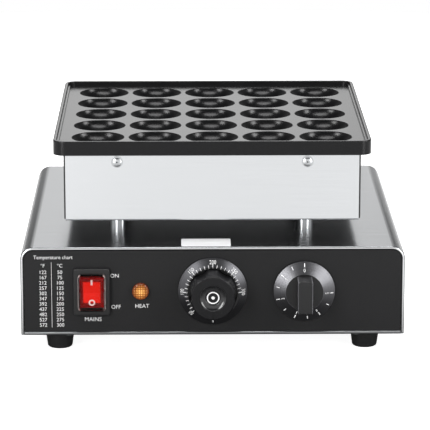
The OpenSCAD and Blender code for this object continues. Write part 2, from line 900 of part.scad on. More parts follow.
// Shouldered tube with a threaded end in the base and one in the heater case, and a turned collar
module column(sx, sy) {
    color(steel)
    translate([sx * column_x, sy * column_y, 0])
        difference() {
            union() {
                translate([0, 0, base_top]) cylinder(d = column_d, h = column_h);
                translate([0, 0, base_top - column_end_l])
                    cylinder(d = column_end_d, h = column_h + 2 * column_end_l);
            }
            translate([0, 0, base_top - column_end_l - cut])
                cylinder(d = column_bore_d, h = column_h + 2 * (column_end_l + cut));
            translate([0, 0, base_top + column_h - collar_h])
                difference() {
                    cylinder(d = column_d + 2 * cut, h = collar_groove);
                    translate([0, 0, -cut])
                        cylinder(d = column_d - 2 * collar_groove, h = collar_groove + 2 * cut);
                }
        }
}

module column_nuts() {
    color(steel)
    at_corners(column_x, column_y)
        for (z = [base_top - base_t - column_nut_h, case_z + case_t])
            translate([0, 0, z]) hex_nut(column_nut_af, column_nut_h, column_end_d + 2 * fit);
}

// Sheet with folded hems at both ends: x = distance in from the outside, y = depth
module hemmed_sheet() {
    half = base_d / 2;
    translate([0, -half + base_t]) square([base_t, 2 * (half - base_t)]);
    for (s = [-1, 1]) {
        translate([0, s * (half - (hem_w + base_t) / 2) - (hem_w - base_t) / 2])
            square([hem_t, hem_w - base_t]);
        translate([base_t, s * (half - base_t)]) circle(base_t);
    }
}

// Folded top and sides of the base, open below, with fixing flanges turned in
module base_cover() {
    low = base_z + base_t;
    knee = base_w / 2 - base_bend_r;
    color(steel)
    difference() {
        union() {
            translate([0, 0, base_top])
                along_x(2 * knee) rotate(-90) hemmed_sheet();
            for (s = [0, 1])
                mirror([s, 0, 0]) {
                    translate([base_w / 2, 0, low])
                        linear_extrude(base_top - base_bend_r - low) mirror([1, 0]) hemmed_sheet();
                    translate([knee, 0, base_top - base_bend_r])
                        rotate([90, 0, 0])
                            rotate_extrude(angle = 90)
                                translate([base_bend_r, 0]) mirror([1, 0]) hemmed_sheet();
                    translate([base_w / 2 - flange_w, -base_d / 2 + 2 * hem_w, low])
                        cube([flange_w, base_d - 4 * hem_w, base_t]);
                }
        }
        at_corners(column_x, column_y)
            translate([0, 0, base_top - base_t - cut])
                cylinder(d = column_end_d + 2 * loose, h = base_t + 2 * cut);
        cover_screw_places(low - cut) cylinder(d = small_screw_d + 2 * fit, h = base_t + 2 * cut);
    }
}

module cover_screw_places(z) {
    at_corners(base_w / 2 - flange_w / 2, cover_screw_y)
        translate([0, 0, z]) children();
}

module panel_screw_places(z) {
    at_corners(panel_screw_x, panel_back - flange_w / 2)
        translate([0, 0, z]) children();
}

// Upright panel that fills the opening of the cover, drawn for the front: outline and foot flange
module panel_blank() {
    translate([0, -panel_back, 0])
        along_y(-base_t, 0) {
            translate([-panel_w / 2, panel_z]) square([panel_w, panel_top - panel_r - panel_z]);
            translate([-panel_w / 2 + panel_r, panel_top - panel_r])
                square([panel_w - 2 * panel_r, panel_r]);
            for (s = [-1, 1])
                translate([s * (panel_w / 2 - panel_r), panel_top - panel_r]) circle(panel_r);
        }
    translate([-panel_w / 2 + flange_w, -panel_back - base_t / 2, panel_z])
        cube([panel_w - 2 * flange_w, flange_w + base_t / 2, base_t]);
}

module front_panel() {
    deep = base_t + 2 * cut;
    color(black)
    difference() {
        panel_blank();
        panel_screw_places(panel_z - cut) cylinder(d = small_screw_d + 2 * fit, h = deep);
        on_panel(switch_x)
            translate([0, 0, -base_t - cut]) linear_extrude(deep)
                square([switch_body_w + 2 * panel_gap, switch_body_h + 2 * panel_gap], center = true);
        on_panel(lamp_x)
            translate([0, 0, -base_t - cut]) cylinder(d = lamp_body_d + 2 * loose, h = deep);
        for (x = [thermostat_x, timer_x])
            on_panel(x)
                translate([0, 0, -base_t - cut]) {
                    cylinder(d = bush_d + 2 * loose, h = deep);
                    for (s = [-1, 1])
                        translate([s * dial_screw_pitch / 2, 0, 0])
                            cylinder(d = small_screw_d + 2 * loose, h = deep);
                }
    }
}

module back_panel() {
    color(steel)
    difference() {
        rotate(180) panel_blank();
        panel_screw_places(panel_z - cut) cylinder(d = small_screw_d + 2 * fit, h = base_t + 2 * cut);
        on_back(gland_x, gland_z)
            translate([0, 0, -base_t - cut])
                cylinder(d = gland_thread_d + 2 * loose, h = base_t + 2 * cut);
        along_y(panel_back - cut, panel_y + cut) vent_slots(0, control_z);
    }
}

// Row of upright slots with round ends
module vent_slots(x, y) {
    for (i = [0 : vent_n - 1])
        translate([x + (i - (vent_n - 1) / 2) * vent_pitch, y]) {
            square([vent_w, vent_l - vent_w], center = true);
            for (s = [-1, 1])
                translate([0, s * (vent_l - vent_w) / 2]) circle(d = vent_w);
        }
}

module bottom_plate() {
    color(steel)
    difference() {
        union() {
            translate([-base_w / 2, -base_d / 2 + base_t, base_z])
                cube([base_w, base_d - 2 * base_t, base_t]);
            translate([0, 0, base_z]) along_x(panel_w) rotate(90) mirror([0, 1]) hemmed_sheet();
        }
        translate([0, 0, base_z - cut]) {
            hole = hem_t + 2 * cut;
            at_corners(foot_x, foot_y) cylinder(d = foot_screw_d + 2 * loose, h = hole);
            cover_screw_places(0) cylinder(d = small_screw_d + 2 * loose, h = hole);
            panel_screw_places(0) cylinder(d = small_screw_d + 2 * loose, h = hole);
            block_screw_places() cylinder(d = small_screw_d + 2 * fit, h = hole);
            translate([stud_x, stud_y, 0]) cylinder(d = stud_d + 2 * fit, h = hole);
            for (s = [-1, 1])
                linear_extrude(hole) vent_slots(0, s * base_d / 6);
        }
    }
}

module cover_screws() {
    color(dark_steel)
    cover_screw_places(base_z)
        rotate([180, 0, 0]) pan_screw(small_screw_d, 2 * base_t + screw_over, small_head_d, small_head_h);
}

module panel_screws() {
    color(dark_steel)
    panel_screw_places(base_z)
        rotate([180, 0, 0]) pan_screw(small_screw_d, hem_t + base_t + screw_over, small_head_d, small_head_h);
}

// Flared foot with a rounded bottom edge and a recess for its screw's head
module foot(sx, sy) {
    flare = atan((foot_top_d - foot_low_d) / (2 * foot_h));
    side_z = foot_edge_r * (1 - sin(flare));
    edge_x = foot_top_d / 2 - (foot_h - side_z) * tan(flare) - foot_edge_r * cos(flare);
    color("#1C1C1D")
    translate([sx * foot_x, sy * foot_y, 0])
        rotate_extrude()
            difference() {
                union() {
                    translate([edge_x, foot_edge_r]) circle(foot_edge_r);
                    polygon([
                        [0, 0], [edge_x, 0], [edge_x + foot_edge_r * cos(flare), side_z],
                        [foot_top_d / 2 - foot_round * tan(flare), foot_h - foot_round],
                        [foot_top_d / 2 - foot_round, foot_h], [0, foot_h]
                    ]);
                }
                translate([0, -cut]) square([foot_bore_d / 2, foot_h - foot_web + cut]);
                translate([0, -cut]) square([foot_screw_d / 2 + loose, foot_h + 2 * cut]);
            }
}

module foot_screws() {
    color(steel)
    at_corners(foot_x, foot_y)
        translate([0, 0, foot_h - foot_web])
            rotate([180, 0, 0])
                pan_screw(foot_screw_d, foot_screw_l, foot_head_d, foot_head_h);
}

module foot_nuts() {
    color(steel)
    at_corners(foot_x, foot_y)
        translate([0, 0, base_z + base_t]) hex_nut(foot_nut_af, foot_nut_h, foot_screw_d + 2 * fit);
}

module switch_housing() {
    color("#1B1B1C")
    on_panel(switch_x)
        difference() {
            union() {
                translate([0, 0, -switch_depth])
                    linear_extrude(switch_depth + switch_flange_t)
                        square([switch_body_w, switch_body_h], center = true);
                linear_extrude(switch_flange_t)
                    square([switch_face_w, switch_face_h], center = true);
            }
            translate([0, 0, -pocket_depth])
                linear_extrude(pocket_depth + switch_flange_t + cut)
                    square([pocket_w, pocket_h], center = true);
            translate([-rocker_w / 2 - rocker_pin_l - rocker_gap, 0, pivot_h])
                rotate([0, 90, 0])
                    cylinder(d = rocker_pin_d + 2 * fit, h = rocker_w + 2 * (rocker_pin_l + rocker_gap));
            switch_blades(switch_depth - blade_root, panel_gap);
        }
}

// Two pairs of blade terminals that leave the back of the switch
module switch_blades(start, grow) {
    for (sx = [-1, 1], sy = [-1, 1])
        translate([sx * blade_x, sy * blade_z, -start - blade_root - blade_l])
            linear_extrude(blade_root + blade_l) square([blade_w + grow, blade_t + grow], center = true);
}

module switch_terminals() {
    color("#C8A24A")
    on_panel(switch_x) switch_blades(switch_depth - blade_root + seat, 0);
}

// Rocker at rest: its lower half is pressed in and its upper half stands out
module switch_rocker() {
    color("#D8230F")
    on_panel(switch_x)
        translate([0, 0, pivot_h])
            rotate([rocker_tilt, 0, 0]) {
                rotate([0, 90, 0])
                    linear_extrude(rocker_w, center = true)
                        polygon([
                            [-rocker_rim, rocker_half], [-rocker_dip, 0], [-rocker_rim, -rocker_half],
                            [rocker_skirt, -rocker_half], [rocker_root, -rocker_root_half],
                            [rocker_root, rocker_root_half], [rocker_skirt, rocker_half]
                        ]);
                rotate([0, 90, 0])
                    cylinder(d = rocker_pin_d, h = rocker_w + 2 * rocker_pin_l, center = true);
            }
}

module splash_frame() {
    window_w = cap_w + 2 * panel_gap;
    window_h = cap_h + 2 * panel_gap;
    nest_w = switch_face_w + 2 * panel_gap;
    nest_h = switch_face_h + 2 * panel_gap;
    color("#1F1F20")
    on_panel(switch_x)
        difference() {
            moulded_block(splash_w, splash_h, splash_r, splash_t);
            translate([0, 0, -cut])
                linear_extrude(splash_t + 2 * cut) rounded_rect(window_w, window_h, cap_r);
            translate([0, 0, -cut])
                linear_extrude(cut + switch_flange_t + cap_flange_t) square([nest_w, nest_h], center = true);
        }
}

// Clear cap: a flange held under the splash frame and a box that covers the rocker
module splash_cap() {
    color("#E8D8D8", 0.4)
    on_panel(switch_x)
        difference() {
            union() {
                translate([0, 0, switch_flange_t])
                    linear_extrude(cap_flange_t)
                        square([switch_face_w, switch_face_h], center = true);
                translate([0, 0, switch_flange_t])
                    moulded_block(cap_w, cap_h, cap_r, cap_reach - switch_flange_t);
            }
            translate([0, 0, switch_flange_t - cut])
                linear_extrude(cap_reach - switch_flange_t - cap_wall + cut)
                    rounded_rect(cap_in_w, cap_in_h, cap_r - cap_wall);
        }
}

// Lens with a rounded edge and crossed grooves that break up its front into small pyramids
module lamp_lens() {
    flat = lamp_d / 2 - lamp_dome / 2;
    lines = floor(flat / lamp_groove_pitch);
    color("#E8862A")
    on_panel(lamp_x)
        difference() {
            rotate_extrude() {
                square([lamp_d / 2, lamp_dome / 2]);
                square([flat, lamp_dome]);
                intersection() {
                    translate([flat, lamp_dome / 2]) circle(lamp_dome / 2);
                    square([lamp_d / 2, lamp_dome]);
                }
            }
            for (turn = [0, 90], i = [-lines : lines])
                rotate(turn)
                    translate([0, i * lamp_groove_pitch, lamp_dome])
                        rotate([45, 0, 0])
                            cube([lamp_d, lamp_groove * sqrt(2), lamp_groove * sqrt(2)], center = true);
        }
}

module lamp_body() {
    color("#2A2A2B")
    on_panel(lamp_x) translate([0, 0, -lamp_len]) cylinder(d = lamp_body_d, h = lamp_len);
}

module lamp_nut() {
    color("#2A2A2B")
    on_panel(lamp_x)
        translate([0, 0, -base_t - lamp_nut_h]) hex_nut(lamp_nut_af, lamp_nut_h, lamp_body_d + 2 * fit);
}

// Fixed ring with a sloping face for the scale, and a well for the knob
module thermostat_scale_ring() {
    well = thermostat_knob_d / 2 + knob_gap;
    color("#202021")
    on_panel(thermostat_x)
        difference() {
            rotate_extrude()
                polygon([
                    [bush_d / 2 + loose, 0], [ring_d / 2, 0], [ring_d / 2, ring_edge],
                    [well + ring_lip, ring_h], [well, ring_h],
                    [well, ring_floor], [bush_d / 2 + loose, ring_floor]
                ]);
            for (s = [-1, 1])
                translate([s * dial_screw_pitch / 2, 0, -cut])
                    cylinder(d = small_screw_d + 2 * loose, h = ring_floor + 2 * cut);
        }
}

module d_shaft(d, h) {
    intersection() {
        cylinder(d = d, h = h);
        translate([-d / 2, -d / 2, 0]) cube([d, d - spindle_flat, h]);
    }
}

// Fixing plate with a bush through the panel, in front of the works
module dial_mount(plate_w, plate_h) {
    translate([0, 0, -base_t - dial_plate_t])
        linear_extrude(dial_plate_t) rounded_rect(plate_w, plate_h, dial_corner_r);
    translate([0, 0, -base_t - dial_plate_t]) cylinder(d = bush_d, h = base_t + dial_plate_t + ring_floor);
}

module dial_bores() {
    translate([0, 0, -spindle_back - seat])
        cylinder(d = spindle_d + 2 * fit, h = spindle_back + ring_floor + seat + cut);
    for (s = [-1, 1])
        translate([s * dial_screw_pitch / 2, 0, -base_t - dial_plate_t - dial_thread - thread_over])
            cylinder(d = small_screw_d + 2 * fit, h = dial_plate_t + dial_thread + thread_over + cut);
}

module thermostat_body() {
    color("#A9ACAE")
    on_panel(thermostat_x)
        difference() {
            union() {
                dial_mount(dial_body_w, dial_plate_h);
                translate([0, 0, -base_t - dial_plate_t - dial_body_l])
                    linear_extrude(dial_body_l) rounded_rect(dial_body_w, dial_body_h, dial_corner_r);
            }
            dial_bores();
        }
}

module timer_body() {
    color("#A9ACAE")
    on_panel(timer_x)
        difference() {
            union() {
                dial_mount(timer_plate_w, timer_plate_w);
                translate([0, 0, -base_t - dial_plate_t - timer_body_l])
                    cylinder(d = timer_body_d, h = timer_body_l);
            }
            dial_bores();
        }
}

// Round up to just below its knob, with a flat beyond
module spindle(base) {
    color(steel) {
        translate([0, 0, -spindle_back]) cylinder(d = spindle_d, h = spindle_back + base - seat);
        d_shaft(spindle_d, spindle_front);
    }
}

module thermostat_spindle() {
    on_panel(thermostat_x) spindle(knob_base);
}

module timer_spindle() {
    on_panel(timer_x) spindle(hub_base);
}

module dial_screws(x, grip) {
    length = grip + base_t + dial_plate_t + dial_thread;
    color(dark_steel)
    on_panel(x)
        for (s = [-1, 1])
            translate([s * dial_screw_pitch / 2, 0, grip])
                pan_screw(small_screw_d, length, small_head_d, small_head_h);
}

module thermostat_screws() {
    dial_screws(thermostat_x, ring_floor);
}

module timer_screws() {
    dial_screws(timer_x, 0);
}

// Socket for the spindle in a knob that starts at the given height
module spindle_socket(base) {
    translate([0, 0, base - cut]) d_shaft(spindle_d + 2 * fit, spindle_front + seat - base + cut);
}

// Fluted knob with a dished front and a pointer groove that rests at zero, straight down
module thermostat_knob() {
    r = thermostat_knob_d / 2;
    front_r = r - knob_taper;
    color("#1E1E1F")
    on_panel(thermostat_x)
        difference() {
            rotate_extrude()
                polygon([
                    [0, knob_base], [r, knob_base], [front_r, thermostat_reach - knob_round],
                    [front_r - knob_round, thermostat_reach], [0, thermostat_reach]
                ]);
            for (k = [0 : flute_n - 1])
                rotate(360 / flute_n * k)
                    translate([r - flute_depth + flute_r, 0, knob_base - cut])
                        cylinder(r = flute_r, h = thermostat_reach - knob_base + 2 * cut);
            translate([0, 0, thermostat_reach - dish_depth])
                cylinder(d1 = dish_d - 2 * dish_slope, d2 = dish_d, h = dish_depth);
            translate([-pointer_w / 2, -front_r, thermostat_reach - pointer_depth])
                cube([pointer_w, front_r - dish_d / 2 - pointer_gap, pointer_depth + cut]);
            spindle_socket(knob_base);
        }
}

// Knob with a conical skirt for the scale and a straight grip
module timer_knob() {
    r = timer_d / 2;
    face = timer_face_d / 2;
    hub = spindle_d / 2 + hub_wall;
    color("#1E1E1F")
    on_panel(timer_x)
        difference() {
            union() {
                rotate_extrude()
                    polygon([
                        [0, hub_base], [hub, hub_base],
                        [hub, timer_face_h - skirt_wall], [face - skirt_wall, timer_face_h - skirt_wall],
                        [r - skirt_wall, skirt_gap], [r, skirt_gap], [r, skirt_gap + skirt_edge],
                        [face, timer_face_h], [0, timer_face_h]
                    ]);
                translate([0, 0, timer_face_h - cut])
                    moulded_block(grip_w, grip_l, grip_corner_r, timer_reach - timer_face_h + cut);
            }
            spindle_socket(hub_base);
        }
}

// Gland for the mains cable: hexagon, tapered cap and a thread through the back panel
module cord_gland() {
    color("#222223")
    on_back(gland_x, gland_z)
        difference() {
            union() {
                hex(gland_af, gland_hex_h);
                translate([0, 0, -gland_thread_l]) cylinder(d = gland_thread_d, h = gland_thread_l);
                translate([0, 0, gland_hex_h])
                    cylinder(d1 = gland_af - gland_step, d2 = gland_tip_d, h = gland_reach - gland_hex_h);
            }
            translate([0, 0, -gland_thread_l - cut])
                cylinder(d = gland_bore_d, h = gland_thread_l + gland_reach + 2 * cut);
        }
}

module gland_nut() {
    color("#222223")
    on_back(gland_x, gland_z)
        translate([0, 0, -base_t - gland_hex_h]) hex_nut(gland_af, gland_hex_h, gland_thread_d + 2 * fit);
}

module block_screw_places() {
    for (s = [-1, 1])
        translate([block_x + s * block_screw_pitch / 2, block_y, 0]) children();
}

// Three-way ceramic terminal block on the floor of the base
module terminal_block() {
    color("#E9E6DD")
    difference() {
        translate([block_x - block_w / 2, block_front, base_z + base_t])
            cube([block_w, block_d, block_h]);
        for (i = [-1 : 1])
            translate([block_x + i * block_pole_pitch, block_front - cut, block_pole_z])
                rotate([-90, 0, 0]) cylinder(d = block_pole_d, h = block_d + 2 * cut);
        block_screw_places()
            translate([0, 0, base_z]) {
                cylinder(d = small_screw_d + 2 * loose, h = base_t + block_h + cut);
                translate([0, 0, base_t + block_feet]) cylinder(d = small_head_d + 2 * loose, h = block_h);
            }
    }
}

module terminal_block_screws() {
    color(dark_steel)
    block_screw_places()
        translate([0, 0, base_z + base_t + block_feet])
            pan_screw(small_screw_d, block_feet + base_t + block_screw_over, small_head_d, small_head_h);
}

module earth_stud() {
    color("#C8A24A")
    translate([stud_x, stud_y, base_z - stud_under]) cylinder(d = stud_d, h = stud_l);
}

module earth_nuts() {
    color("#C8A24A")
    translate([stud_x, stud_y, base_z + base_t])
        for (i = [0, 1])
            translate([0, 0, i * (stud_nut_h + seat)]) hex_nut(stud_nut_af, stud_nut_h, stud_d + 2 * fit);
}

framed() baking_plate();
framed() heater_case();
framed() end_panel(-1);  // end_panel_left
framed() end_panel(1);  // end_panel_right
framed() case_screws();
framed() case_washers();
framed() heating_element(-1);  // heating_element_front
framed() heating_element(1);  // heating_element_back
framed() clamp_bar(-1);  // clamp_bar_left
framed() clamp_bar(1);  // clamp_bar_right
framed() clamp_screws();
framed() thermostat_bulb();
framed() bulb_clip();
framed() bulb_clip_screw();
framed() capillary_tube();
framed() heater_leads();
framed() switch_leads();
framed() lamp_leads();
framed() column(-1, -1);  // column_front_left
framed() column(1, -1);  // column_front_right
framed() column(-1, 1);  // column_back_left
framed() column(1, 1);  // column_back_right
framed() column_nuts();
framed() base_cover();
framed() front_panel();
framed() back_panel();
framed() bottom_plate();
framed() cover_screws();
framed() panel_screws();
framed() foot(-1, -1);  // foot_front_left
framed() foot(1, -1);  // foot_front_right
framed() foot(-1, 1);  // foot_back_left
framed() foot(1, 1);  // foot_back_right
framed() foot_screws();
framed() foot_nuts();
framed() switch_housing();
framed() switch_rocker();
framed() switch_terminals();
framed() splash_frame();
framed() splash_cap();
framed() lamp_lens();
framed() lamp_body();
framed() lamp_nut();
framed() thermostat_scale_ring();
framed() thermostat_body();
framed() thermostat_spindle();
framed() thermostat_knob();
framed() thermostat_screws();
framed() timer_body();
framed() timer_spindle();
framed() timer_knob();
framed() timer_screws();
framed() cord_gland();
framed() gland_nut();
framed() terminal_block();
framed() terminal_block_screws();
framed() earth_stud();
framed() earth_nuts();
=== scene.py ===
import bpy
import bmesh
import json
import math
from mathutils import Matrix, Vector


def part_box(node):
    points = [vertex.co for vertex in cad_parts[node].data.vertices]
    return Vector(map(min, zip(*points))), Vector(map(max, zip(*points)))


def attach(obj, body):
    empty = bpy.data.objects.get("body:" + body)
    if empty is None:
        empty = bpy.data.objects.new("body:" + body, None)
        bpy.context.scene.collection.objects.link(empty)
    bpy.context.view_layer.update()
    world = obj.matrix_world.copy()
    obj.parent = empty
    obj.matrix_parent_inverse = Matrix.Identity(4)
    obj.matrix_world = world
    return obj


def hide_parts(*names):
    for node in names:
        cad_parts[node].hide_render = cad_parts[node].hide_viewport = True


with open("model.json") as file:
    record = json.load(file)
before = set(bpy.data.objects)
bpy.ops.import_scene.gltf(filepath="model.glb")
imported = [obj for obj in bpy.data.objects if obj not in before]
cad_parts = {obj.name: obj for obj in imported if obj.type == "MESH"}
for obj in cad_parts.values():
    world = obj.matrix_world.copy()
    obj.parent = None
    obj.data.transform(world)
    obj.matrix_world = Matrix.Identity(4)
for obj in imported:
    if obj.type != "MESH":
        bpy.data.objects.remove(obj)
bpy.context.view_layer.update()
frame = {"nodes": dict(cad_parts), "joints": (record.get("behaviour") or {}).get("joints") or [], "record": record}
nodes = frame["nodes"]
joints = {joint["name"]: joint for joint in frame["joints"]}
scene = bpy.context.scene
mm = 0.001
print("frame loaded:", len(nodes), "pieces")

# Places that the marks and trims hang on, all taken from the frame
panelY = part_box("front_panel")[0].y
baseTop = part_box("base_cover")[1].z
thermostatAt = Vector(joints["thermostat_turn"]["pos_m"])
timerAt = Vector(joints["timer_turn"]["pos_m"])
rockerAt = Vector(joints["rocker_tip"]["pos_m"])
rockerTilt = math.radians(joints["rocker_tip"]["range_deg"][1] / 2)  # at rest, half its travel from level
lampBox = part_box("lamp_lens")
lampAt = (lampBox[0] + lampBox[1]) / 2


# sRGB hex to linear, by the curve of that standard
def hexColour(text, shade=1.0):
    channels = []
    for start in (1, 3, 5):
        value = int(text[start:start + 2], 16) / 255
        linear = value / 12.92 if value <= 0.04045 else ((value + 0.055) / 1.055) ** 2.4
        channels.append(linear * shade)
    return (*channels, 1.0)


# Inputs go by name or number: a Mix of colours takes its share in 0, the colours in 6 and 7, and gives 2
def addNode(tree, kind, inputs=None, **settings):
    node = tree.nodes.new(kind)
    for name, value in settings.items():
        setattr(node, name, value)
    for name, value in (inputs or {}).items():
        if isinstance(value, bpy.types.NodeSocket):
            tree.links.new(value, node.inputs[name])
        else:
            node.inputs[name].default_value = value
    return node


def newFinish(name, values):
    finish = bpy.data.materials.new(name)
    finish.use_nodes = True
    tree = finish.node_tree
    shader = tree.nodes["Principled BSDF"]
    for socket, value in values.items():
        shader.inputs[socket].default_value = value
    place = addNode(tree, "ShaderNodeTexCoord").outputs["Object"]
    return finish, tree, shader, place


def perMm(size):
    return 1 / (size * mm)


def setStops(ramp, stops):
    for element, (position, colour) in zip(ramp.color_ramp.elements, stops):
        element.position = position
        element.color = colour
    return ramp.outputs["Color"]


# Feeds the shader, and presses a pattern into its surface where relief says how much
def dressShader(tree, shader, feeds, pattern=None, relief=None):
    if relief:
        bump = addNode(tree, "ShaderNodeBump", {
            "Height": pattern, "Strength": relief["strength"], "Distance": relief["depthMm"] * mm})
        feeds = {**feeds, "Normal": bump.outputs["Normal"]}
    for name, socket in feeds.items():
        tree.links.new(socket, shader.inputs[name])


# How far a vector reaches along an axis, either way
def axisPart(tree, vector, axis):
    along = addNode(tree, "ShaderNodeSeparateXYZ", {"Vector": vector}).outputs[axis]
    return addNode(tree, "ShaderNodeMath", {0: along}, operation="ABSOLUTE").outputs[0]


# Distance from a dial's axis, for finishes that run in rings
def ringDistance(tree, place, centre):
    centred = addNode(tree, "ShaderNodeMapping", {"Vector": place, "Location": -centre})
    flat = addNode(tree, "ShaderNodeVectorMath", {0: centred.outputs["Vector"], 1: (1, 0, 1)},
                   operation="MULTIPLY")
    length = addNode(tree, "ShaderNodeVectorMath", {0: flat.outputs["Vector"]}, operation="LENGTH")
    return length.outputs["Value"]


# Smooth steps: a row has its source, where the step starts and stops, and the levels before and after it
def fadeLevels(tree, sources, rows):
    levels = {}
    for name, (source, start, stop, before, after) in rows.items():
        step = addNode(tree, "ShaderNodeMapRange", {
            "Value": sources[source], "From Min": start, "From Max": stop, "To Min": before, "To Max": after},
            interpolation_type="SMOOTHSTEP")
        levels[name] = step.outputs[0]
    return levels


# Cast aluminium with a sprayed non-stick coat: near black, satin, with a fine pebbled skin
coat = {"speckMm": 0.6, "dark": "#0A0A0B", "light": "#131315", "grainMm": 1.4, "strength": 0.2,
        "depthMm": 0.04}


def nonstickCoat():
    finish, tree, shader, place = newFinish("nonstickCoat", {
        "Roughness": 0.25, "IOR": 1.25, "Coat Weight": 1.0, "Coat Roughness": 0.22, "Coat IOR": 1.25})
    speck = addNode(tree, "ShaderNodeTexNoise", {
        "Vector": place, "Scale": perMm(coat["speckMm"]), "Detail": 2.0})
    ramp = addNode(tree, "ShaderNodeValToRGB", {"Fac": speck.outputs["Fac"]})
    tone = setStops(ramp, [(0.4, hexColour(coat["dark"])), (0.7, hexColour(coat["light"]))])
    grain = addNode(tree, "ShaderNodeTexNoise", {
        "Vector": place, "Scale": perMm(coat["grainMm"]), "Detail": 3.0})
    dressShader(tree, shader, {"Base Color": tone}, grain.outputs["Fac"], coat)
    return finish


# Stainless sheet: the brush leaves long lines along one axis, so reflections smear across them.
# Real lines are about 0.1 mm apart; they are drawn coarser here, or they would not show.
# Faces square to the painted axis are unbrushed and take a painted tone: painted shade on the case's underside and
# on the end panels' cut edges, a painted highlight on the base's hem.
caseBrush = {"along": 0, "lineMm": 0.6, "runMm": 40, "rough": 0.26, "dark": 0.97, "strength": 0.1,
             "depthMm": 0.04}
baseBrush = {"along": 0, "lineMm": 0.5, "runMm": 60, "rough": 0.2, "dark": 0.85, "strength": 0.4,
             "depthMm": 0.04}
paintedRange = {"From Min": 0.9, "From Max": 0.97}  # how square a face is before it takes the painted tone


def brushedSteel(name, colour, brush, paintedAxis=None, paintedColour=None, paintedMetal=0.0):
    finish, tree, shader, place = newFinish(name, {"Metallic": 1.0, "Roughness": brush["rough"]})
    scale = [perMm(brush["lineMm"])] * 3
    scale[brush["along"]] = perMm(brush["runMm"])
    stretched = addNode(tree, "ShaderNodeMapping", {"Vector": place, "Scale": scale})
    lines = addNode(tree, "ShaderNodeTexNoise", {
        "Vector": stretched.outputs["Vector"], "Scale": 1.0, "Detail": 3.0, "Roughness": 0.6})
    ramp = addNode(tree, "ShaderNodeValToRGB", {"Fac": lines.outputs["Fac"]})
    tone = setStops(ramp, [(0.3, hexColour(colour, brush["dark"])), (0.7, hexColour(colour))])
    # Faces square to the axis take the painted tone given: painted shade on the case and end panels, a painted
    # highlight on the base's hem
    if paintedAxis:
        normal = addNode(tree, "ShaderNodeNewGeometry").outputs["Normal"]
        square = axisPart(tree, normal, paintedAxis)
        plain = addNode(tree, "ShaderNodeMapRange", {"Value": square, **paintedRange}).outputs[0]
        tone = addNode(tree, "ShaderNodeMix", {0: plain, 6: tone, 7: hexColour(paintedColour)},
                       data_type="RGBA").outputs[2]
        metal = addNode(tree, "ShaderNodeMapRange", {"Value": plain, "To Min": 1.0, "To Max": paintedMetal})
        tree.links.new(metal.outputs[0], shader.inputs["Metallic"])
    dressShader(tree, shader, {"Base Color": tone}, lines.outputs["Fac"], brush)
    return finish


# Turned and polished steel: a clear mirror with faint turning marks round it
turning = {"lineMm": 0.4, "runMm": 125, "strength": 0.1, "depthMm": 0.02}


def polishedSteel(name, colour, rough):
    finish, tree, shader, place = newFinish(name, {
        "Metallic": 1.0, "Roughness": rough, "Base Color": hexColour(colour)})
    scale = (perMm(turning["runMm"]), perMm(turning["runMm"]), perMm(turning["lineMm"]))
    stretched = addNode(tree, "ShaderNodeMapping", {"Vector": place, "Scale": scale})
    lines = addNode(tree, "ShaderNodeTexNoise", {"Vector": stretched.outputs["Vector"], "Scale": 1.0})
    dressShader(tree, shader, {}, lines.outputs["Fac"], turning)
    return finish


# Powder coat, moulded plastic and rubber: one colour with a fine even grain
def grainedFinish(name, colour, rough, grainMm, depthMm, specular=0.5, dark=0.75, strength=0.3):
    finish, tree, shader, place = newFinish(name, {"Roughness": rough, "Specular IOR Level": specular})
    grain = addNode(tree, "ShaderNodeTexNoise", {"Vector": place, "Scale": perMm(grainMm), "Detail": 2.0})
    ramp = addNode(tree, "ShaderNodeValToRGB", {"Fac": grain.outputs["Fac"]})
    tone = setStops(ramp, [(0.35, hexColour(colour, dark)), (0.65, hexColour(colour))])
    relief = {"strength": strength, "depthMm": depthMm}
    dressShader(tree, shader, {"Base Color": tone}, grain.outputs["Fac"], relief)
    return finish


# Dial with a spun, black anodised cone: its fine rings pull the highlights out along the radius.
# Inside the cone the dial is plain black moulding; a grip's long edges are painted lighter, a painted highlight
# along them.
spun = {"ringMm": 0.5, "dark": 0.8, "strength": 0.6, "depthMm": 0.05, "blendMm": 0.1, "moulding": "#1A1A1B"}
ringCone = {"colour": "#5E5E61", "rough": 0.34, "fromMm": 22.0}
skirtCone = {"colour": "#6E6E71", "rough": 0.34, "fromMm": 15.8, "edgeHighlight": "#56565A"}
paintedEdgeHighlight = {"leavesFront": ("aside", 0.2, 0.4, 0.0, 1.0), "meetsSide": ("aside", 0.9, 0.99, 1.0, 0.0)}


